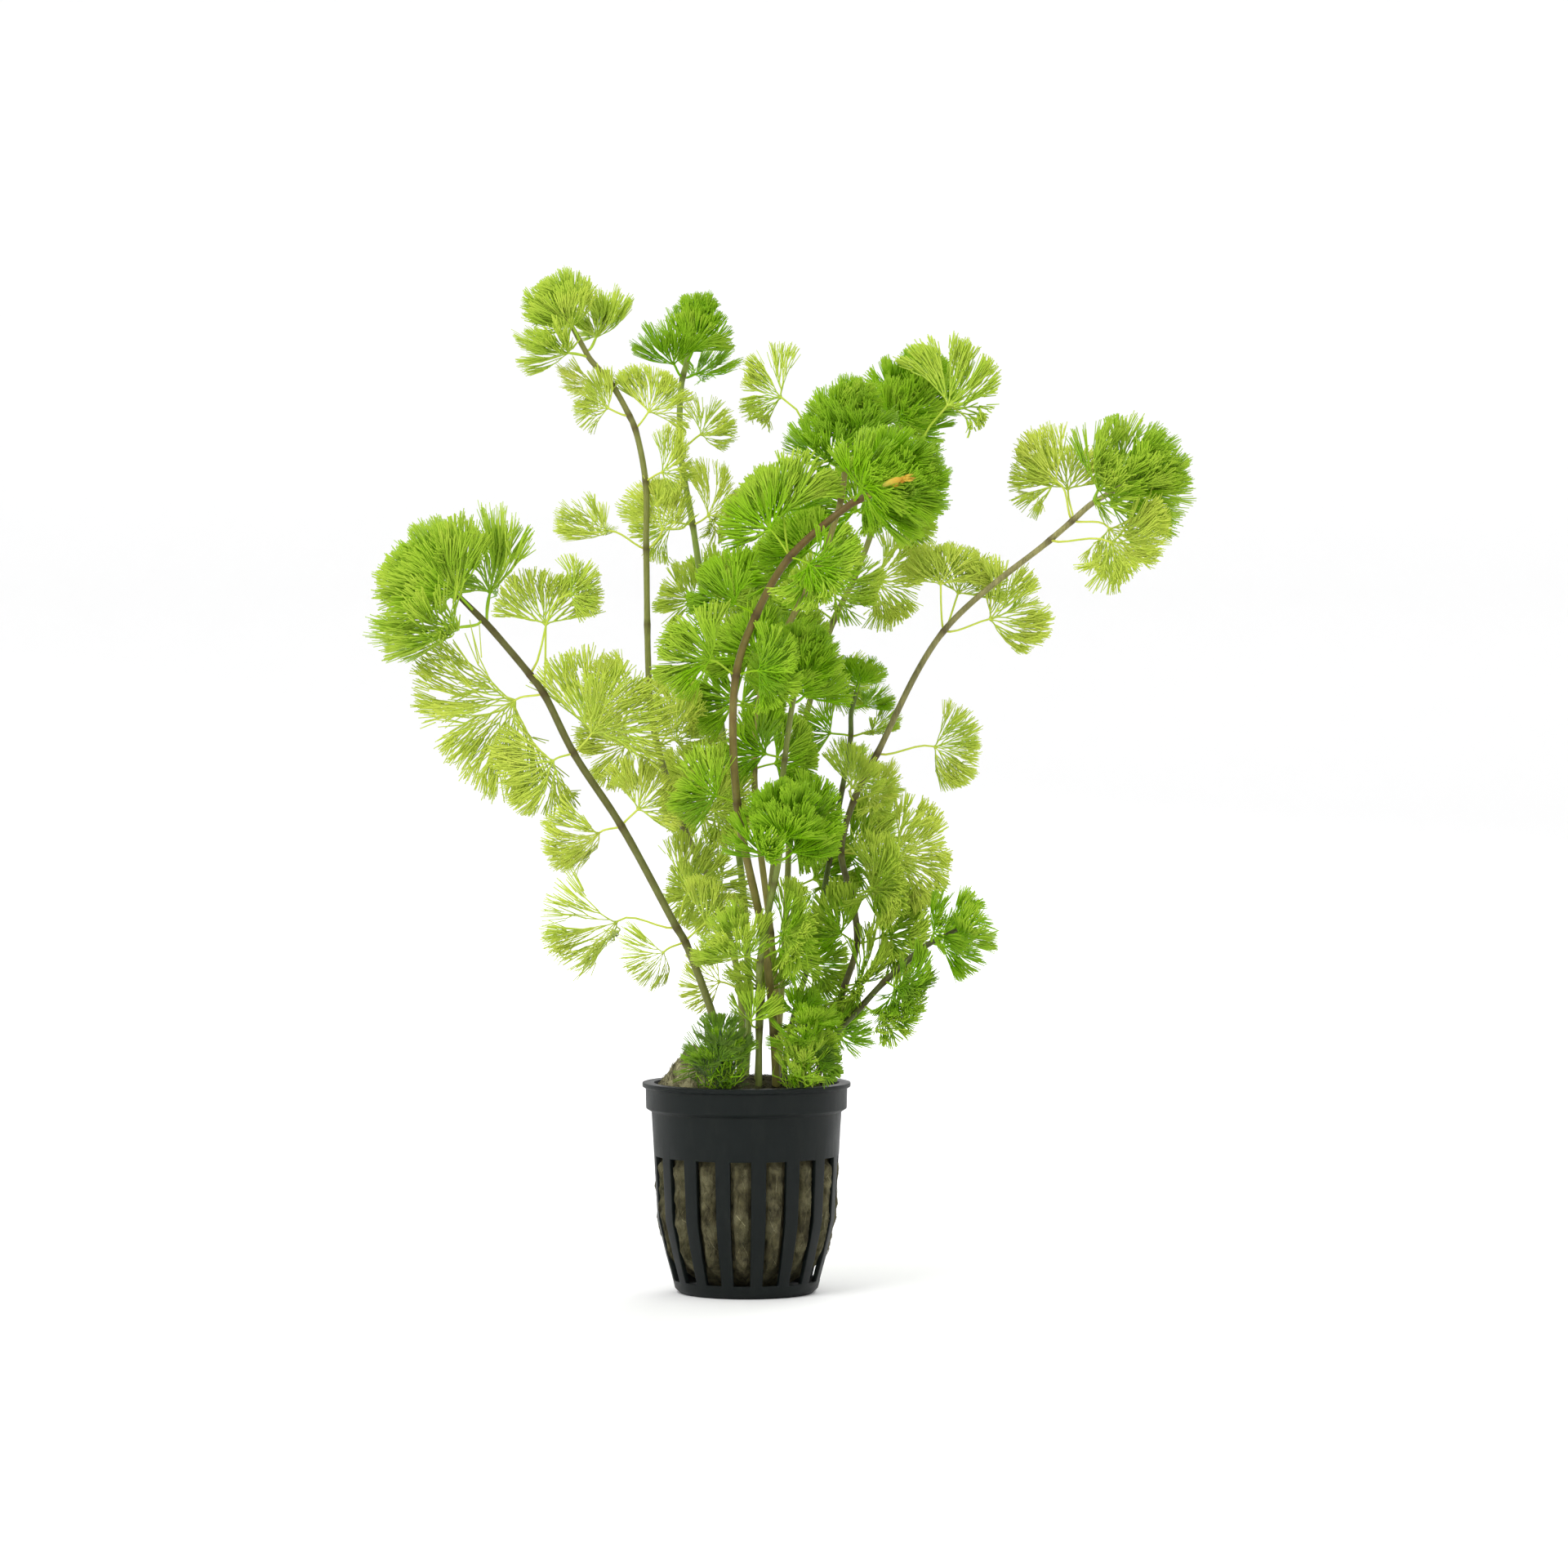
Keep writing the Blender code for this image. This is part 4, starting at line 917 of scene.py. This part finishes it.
# The pot's outline in millimetres: radius, height, and if it is whole all round from there.
POT_LINE = ((3.0, 0.0, True), (6.5, 0.0, False), (13.0, 0.0, True), (16.0, 0.0, True),
            (17.2, 1.2, True), (17.7, 3.2, False), (18.4, 5.8, False), (19.3, 9.0, False),
            (20.4, 13.5, False), (21.4, 18.0, False), (21.8, 25.5, False), (22.2, 33.0, True),
            (22.5, 38.5, True), (22.8, 43.5, True), (24.1, 44.3, True), (24.2, 49.1, True),
            (LIP_RADIUS, 49.5, True))


def inner_corner(radius, height):
    """The corner inside the wall that belongs to one outside it."""
    if height == 0.0:
        return min(radius, FLOOR_INSIDE), POT_WALL
    if radius > COLLAR_FROM:
        return COLLAR_INSIDE, height
    return radius - POT_WALL, max(height, POT_WALL * 1.4)


def pot_sectors():
    """The angles that part the pot round about, and whether a rib starts at each."""
    sectors = []
    for rib in range(RIBS):
        start = FIRST_RIB - RIB_ANGLE / 2 + PITCH * rib
        for wide, in_rib in ((RIB_ANGLE, True), (PITCH - RIB_ANGLE, False)):
            sectors += [(start + wide * k / POT_STEPS, in_rib) for k in range(POT_STEPS)]
            start += wide
    return sectors


def make_pot():
    """The pot again with finer steps and rounded edges: floor, ribs, collar and lip."""
    rows = [(radius * MM, height * MM, whole) for radius, height, whole in POT_LINE]
    rows.append((LIP_RADIUS * MM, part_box("pot")[1][2], True))
    sectors = pot_sectors()
    count = len(sectors)
    bm = bmesh.new()
    made = {}

    def corner(outside, row, sector):
        key = (outside, row, sector % count)
        if key not in made:
            radius, height, _ = rows[row]
            if not outside:
                radius, height = inner_corner(radius, height)
            made[key] = bm.verts.new(round_point(radius, sectors[sector % count][0], height))
        return made[key]

    def solid(row, sector):
        return 0 <= row < len(rows) - 1 and (rows[row][2] or sectors[sector % count][1])

    for row, sector in itertools.product(range(len(rows) - 1), range(count)):
        if not solid(row, sector):
            continue
        corners = ((row, sector), (row, sector + 1), (row + 1, sector + 1), (row + 1, sector))
        bm.faces.new([corner(True, *c) for c in corners])
        bm.faces.new([corner(False, *c) for c in reversed(corners)])
        beside = ((row - 1, sector), (row, sector + 1), (row + 1, sector), (row, sector - 1))
        for i, (next_row, next_sector) in enumerate(beside):
            if next_row >= 0 and not solid(next_row, next_sector):
                start, end = corners[i], corners[(i + 1) % 4]
                bm.faces.new((corner(True, *start), corner(False, *start),
                              corner(False, *end), corner(True, *end)))
    bm.faces.new([corner(True, 0, sector) for sector in range(count)])
    bm.faces.new([corner(False, 0, sector) for sector in reversed(range(count))])
    bmesh.ops.recalc_face_normals(bm, faces=bm.faces)
    sharp = [edge for edge in bm.edges if len(edge.link_faces) == 2
             and edge.calc_face_angle(0.0) > math.radians(38)
             and min(vert.co.xy.length for vert in edge.verts) > 15.0 * MM]
    bmesh.ops.bevel(bm, geom=sharp, offset=ROUNDING, segments=2, profile=0.6, affect="EDGES",
                    clamp_overlap=True)
    mesh = bpy.data.meshes.new("pot_moulded")
    bm.to_mesh(mesh)
    bm.free()
    obj = link_mesh("pot_moulded", mesh, [POT])
    mesh.set_sharp_from_angle(angle=math.radians(34))
    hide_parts("pot")
    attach(obj, "root")


# -------- rock wool

WOOL_ROUND = 160  # points round the plug
SIDE_ROWS = 67
TOP_ROWS = 26
WOOL_FOOT = 1.5 * MM
WOOL_ROUNDED = 10.6 * MM  # the plug is rounded below this
FOOT_RADIUS = 8.5 * MM
WOOL_EDGE = 48.2 * MM
SIDE_TOP = WOOL_EDGE - 1.5 * MM
TOP_RADIUS = 22.8 * MM
WOOL_RIM = TOP_RADIUS - POT_WALL - 0.35 * MM
WOOL_CROWN = 3.0 * MM  # how far the top rises to its middle
SLOTS_TOP = 32.4 * MM
SIDE_CLEARANCE = 0.45 * MM
SLOT_BULGE = 0.35 * MM  # past the pot's wall
# The pot's wall, that the plug follows, in millimetres: height and radius.
WALL_LINE = ((0.0, 16.0), (1.2, 17.2), (3.2, 17.7), (9.0, 19.3), (18.0, 21.4), (33.0, 22.2),
             (43.5, 22.8))
TUFT_AT = Vector((-12.5 * MM, -5.0 * MM))
TUFT_HEIGHT = 8.6 * MM
TUFT_HALF = 4.6 * MM
SHADE_FROM, SHADE_OVER = 4.0 * MM, 8.0 * MM  # painted shade darkens the top towards the right

FIBRES = 1240
TOP_FIBRES = 0.55  # share of the fibres
TUFT_FIBRES = 0.35  # share of those on the top
FIBRE_POINTS = 5


def rough(place, size, seed):
    """Roughness of a size at a place, about from -1 to 1."""
    return noise.fractal(place / size + Vector((seed, seed, seed)), 0.6, 2.1, 4)


def wall_radius(height):
    """The pot's outer radius at a height."""
    for (z0, r0), (z1, r1) in itertools.pairwise(WALL_LINE):
        if height <= z1 * MM:
            return (r0 + (r1 - r0) * (height / MM - z0) / (z1 - z0)) * MM
    return WALL_LINE[-1][1] * MM


def wool_side(angle, height):
    """The plug's radius: it fills the pot's inside and bulges a little in the slots."""
    off = (angle - FIRST_RIB + PITCH / 2) % PITCH - PITCH / 2
    slot = clamped((abs(off) - RIB_ANGLE / 2 - math.radians(0.6)) / math.radians(2.6))
    slot = slot * slot * (3 - 2 * slot)
    slot *= clamped((SLOTS_TOP - height) / (1.4 * MM))
    radius = wall_radius(height) - POT_WALL - SIDE_CLEARANCE + slot * (POT_WALL + SLOT_BULGE)
    if height < WOOL_ROUNDED:
        share = (height - WOOL_FOOT) / (WOOL_ROUNDED - WOOL_FOOT)
        radius = FOOT_RADIUS + (radius - FOOT_RADIUS) * math.sin(share * math.pi / 2) ** 0.8
    lump = rough(round_point(radius, angle, height * 0.6), 2.4 * MM, 3.0)
    return radius + (0.42 * MM * slot + 0.05 * MM) * lump


def wool_top(x, y):
    """The height of the plug's rough top."""
    share = 1 - (x * x + y * y) / TOP_RADIUS**2
    off = (Vector((x, y)) - TUFT_AT).length
    place = Vector((x, y, 0.0))
    tuft = TUFT_HEIGHT * math.exp(-0.5 * (off / TUFT_HALF) ** 2)
    tuft *= 1 + 0.25 * rough(place, 1.8 * MM, 1.0)
    lump = 1.0 * MM * rough(place, 4.0 * MM, 9.0) + 0.4 * MM * rough(place, 1.3 * MM, 5.0)
    return WOOL_EDGE + WOOL_CROWN * max(share, 0.0) + tuft + lump * clamped(share * 4)


def pale_tuft(x, y):
    """How pale and dry the wool is near its tuft."""
    off = (Vector((x, y)) - TUFT_AT).length
    return 1.9 * math.exp(-((off / (9 * MM)) ** 2))


def shade_to_right(x):
    """How much painted shade darkens the top of the wool, more towards the right."""
    return clamped((x - SHADE_FROM) / SHADE_OVER)


def weave_plug(weaver):
    """The plug's skin: rows up its side, and rows that close over its top."""
    angles = [math.tau * k / WOOL_ROUND for k in range(WOOL_ROUND)]
    for k in range(SIDE_ROWS):
        height = WOOL_FOOT + (SIDE_TOP - WOOL_FOOT) * k / (SIDE_ROWS - 1)
        weaver.points += [round_point(wool_side(angle, height), angle, height)
                          for angle in angles]
    for k in range(TOP_ROWS):
        radius = WOOL_RIM * math.cos(k / TOP_ROWS * math.pi / 2) ** 0.9
        for angle in angles:
            x, y = radius * math.cos(angle), radius * math.sin(angle)
            weaver.points.append(Vector((x, y, wool_top(x, y))))
    end = len(weaver.points)
    weaver.points.append(Vector((0.0, 0.0, wool_top(0.0, 0.0))))
    rows = [range(start, start + WOOL_ROUND) for start in range(0, end, WOOL_ROUND)]
    for low, high in itertools.pairwise(rows):
        for k in range(WOOL_ROUND):
            j = (k + 1) % WOOL_ROUND
            weaver.faces.append((low[k], low[j], high[j], high[k]))
    weaver.faces.append(tuple(reversed(rows[0])))
    for k in range(WOOL_ROUND):
        weaver.faces.append((rows[-1][k], rows[-1][(k + 1) % WOOL_ROUND], end))
    for place in weaver.points:
        top = place.z > WOOL_EDGE
        # Painted shade on the right of the top.
        top_shade = 0.75 * shade_to_right(place.x) if top else 0.0
        dry = pale_tuft(place.x, place.y) if top else 0.0
        weaver.tints.append((0.0, top_shade, 0.35 + dry))


def top_fibre(chance):
    """A loose fibre on the plug's top: its line, painted shade and paleness."""
    angle = chance.uniform(0, math.tau)
    radius = WOOL_RIM * math.sqrt(chance.random()) * 0.98
    x, y = radius * math.cos(angle), radius * math.sin(angle)
    if chance.random() < TUFT_FIBRES:
        x, y = (c + chance.gauss(0, 4.0) * MM for c in TUFT_AT)
    way = chance.uniform(0, math.tau)
    long = chance.uniform(2.0, 5.0) * MM
    line = []
    for k in range(FIBRE_POINTS):
        t = k / (FIBRE_POINTS - 1) - 0.5
        along = Vector((math.cos(way), math.sin(way + 0.5 * t))) * (long * t)
        place = Vector((x, y)) + along
        if place.length > WOOL_RIM:
            place *= WOOL_RIM / place.length
        lift = (0.12 + 0.5 * (1 - 4 * t * t) * chance.random()) * MM
        line.append(Vector((*place, wool_top(*place) + lift)))
    return line, 0.7 * shade_to_right(x), 0.5 + pale_tuft(x, y) * chance.uniform(0.7, 1.3)


def slot_fibre(chance):
    """A loose fibre in a slot of the pot: its line, no painted shade, and paleness."""
    centre = FIRST_RIB + PITCH * (chance.randrange(RIBS) + 0.5)
    spread = PITCH - RIB_ANGLE
    angle = centre + chance.uniform(-0.36, 0.36) * spread
    height = chance.uniform(9.0, 31.0) * MM
    long = chance.uniform(2.0, 6.0) * MM
    lean = chance.uniform(-0.9, 0.9)
    line = []
    for k in range(FIBRE_POINTS):
        t = k / (FIBRE_POINTS - 1) - 0.5
        z = clamped(height + long * t, 3.0 * MM, 32.0 * MM)
        turn = angle + lean * long * t / (20.0 * MM)
        turn = clamped(turn, centre - 0.40 * spread, centre + 0.40 * spread)
        line.append(round_point(wool_side(turn, z) + 0.06 * MM, turn, z))
    return line, 0.0, chance.uniform(0.3, 1.1)


def make_wool():
    weaver = Weaver()
    weave_plug(weaver)
    chance = random.Random("fibres")
    for _ in range(FIBRES):
        make_fibre = top_fibre if chance.random() < TOP_FIBRES else slot_fibre
        line, top_shade, light = make_fibre(chance)
        radius = chance.uniform(0.05, 0.10) * MM
        # A top fibre takes a random part of the painted shade of the top under it.
        tint = (1.0, top_shade * chance.random(), light)
        weaver.tube(line, [radius] * FIBRE_POINTS, [tint] * FIBRE_POINTS)
    obj = weaver.build("rock_wool_fibres", [WOOL])
    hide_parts("rock_wool")
    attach(obj, "root")


# -------- stage, light and camera

# The floor turns up into a wall far away: radius and height in metres.
FLOOR_PROFILE = ((1.6, 0.0), (2.4, 0.03), (2.9, 0.22), (3.2, 0.65), (3.3, 1.3), (3.3, 2.4))
FLOOR_ROUND = 96
LIT_POINT = Vector((0.0, 0.0, 0.12))
VIEW_CENTRE = Vector((0.009, 0.0, 0.122))
VIEW_WIDTH = 0.376
CAMERA_FROM_CENTRE = Vector((0.0, -1.25, 0.022))
SENSOR_WIDTH = 36.0


def make_stage():
    """A round white floor."""
    around = [math.tau * k / FLOOR_ROUND for k in range(FLOOR_ROUND)]
    points = [round_point(radius, angle, height)
              for radius, height in FLOOR_PROFILE for angle in around]
    faces = [tuple(range(FLOOR_ROUND))]
    for row, k in itertools.product(range(len(FLOOR_PROFILE) - 1), range(FLOOR_ROUND)):
        low, high, j = row * FLOOR_ROUND, (row + 1) * FLOOR_ROUND, (k + 1) % FLOOR_ROUND
        faces.append((low + j, low + k, high + k, high + j))
    mesh = bpy.data.meshes.new("studio_floor")
    mesh.from_pydata(points, [], faces)
    m = Nodes("studio_white")
    m.shade(Base_Color=(0.93, 0.93, 0.93, 1.0), Roughness=0.9, Specular_IOR_Level=0.1)
    obj = link_mesh("studio_floor", mesh, [m.material])


def aim(obj, place, target):
    """Moves an object to a place and turns it to a target."""
    obj.location = place
    obj.rotation_euler = (target - place).to_track_quat("-Z", "Y").to_euler()
    bpy.context.scene.collection.objects.link(obj)


def add_area(name, place, size, watts):
    light = bpy.data.lights.new(name, "AREA")
    light.shape = "DISK"
    light.size = size
    light.energy = watts
    aim(bpy.data.objects.new(name, light), Vector(place), LIT_POINT)


def make_light():
    """A white studio with a soft light in front and one behind."""
    world = bpy.data.worlds.new("studio")
    world.use_nodes = True
    background = world.node_tree.nodes["Background"]
    background.inputs["Color"].default_value = (1.0, 1.0, 1.0, 1.0)
    background.inputs["Strength"].default_value = 1.05
    bpy.context.scene.world = world
    add_area("key_light", (-0.9, -1.3, 1.5), 1.0, 16.0)
    add_area("back_light", (0.6, 1.6, 1.2), 1.4, 14.0)
    bpy.context.scene.view_settings.view_transform = "Standard"


def make_camera():
    camera = bpy.data.cameras.new("camera")
    camera.sensor_width = SENSOR_WIDTH
    camera.lens = SENSOR_WIDTH * CAMERA_FROM_CENTRE.length / VIEW_WIDTH
    camera.clip_start, camera.clip_end = 0.05, 30.0
    obj = bpy.data.objects.new("camera", camera)
    aim(obj, VIEW_CENTRE + CAMERA_FROM_CENTRE, VIEW_CENTRE)
    bpy.context.scene.camera = obj


# -------- the whole scene

shoot_lines = {name: make_shoot(name) for name in SHOOT_LOOKS}
for leaf_node in leaf_shapes:
    make_leaf(leaf_node, shoot_lines)
make_pot()
make_wool()
make_stage()
make_light()
make_camera()
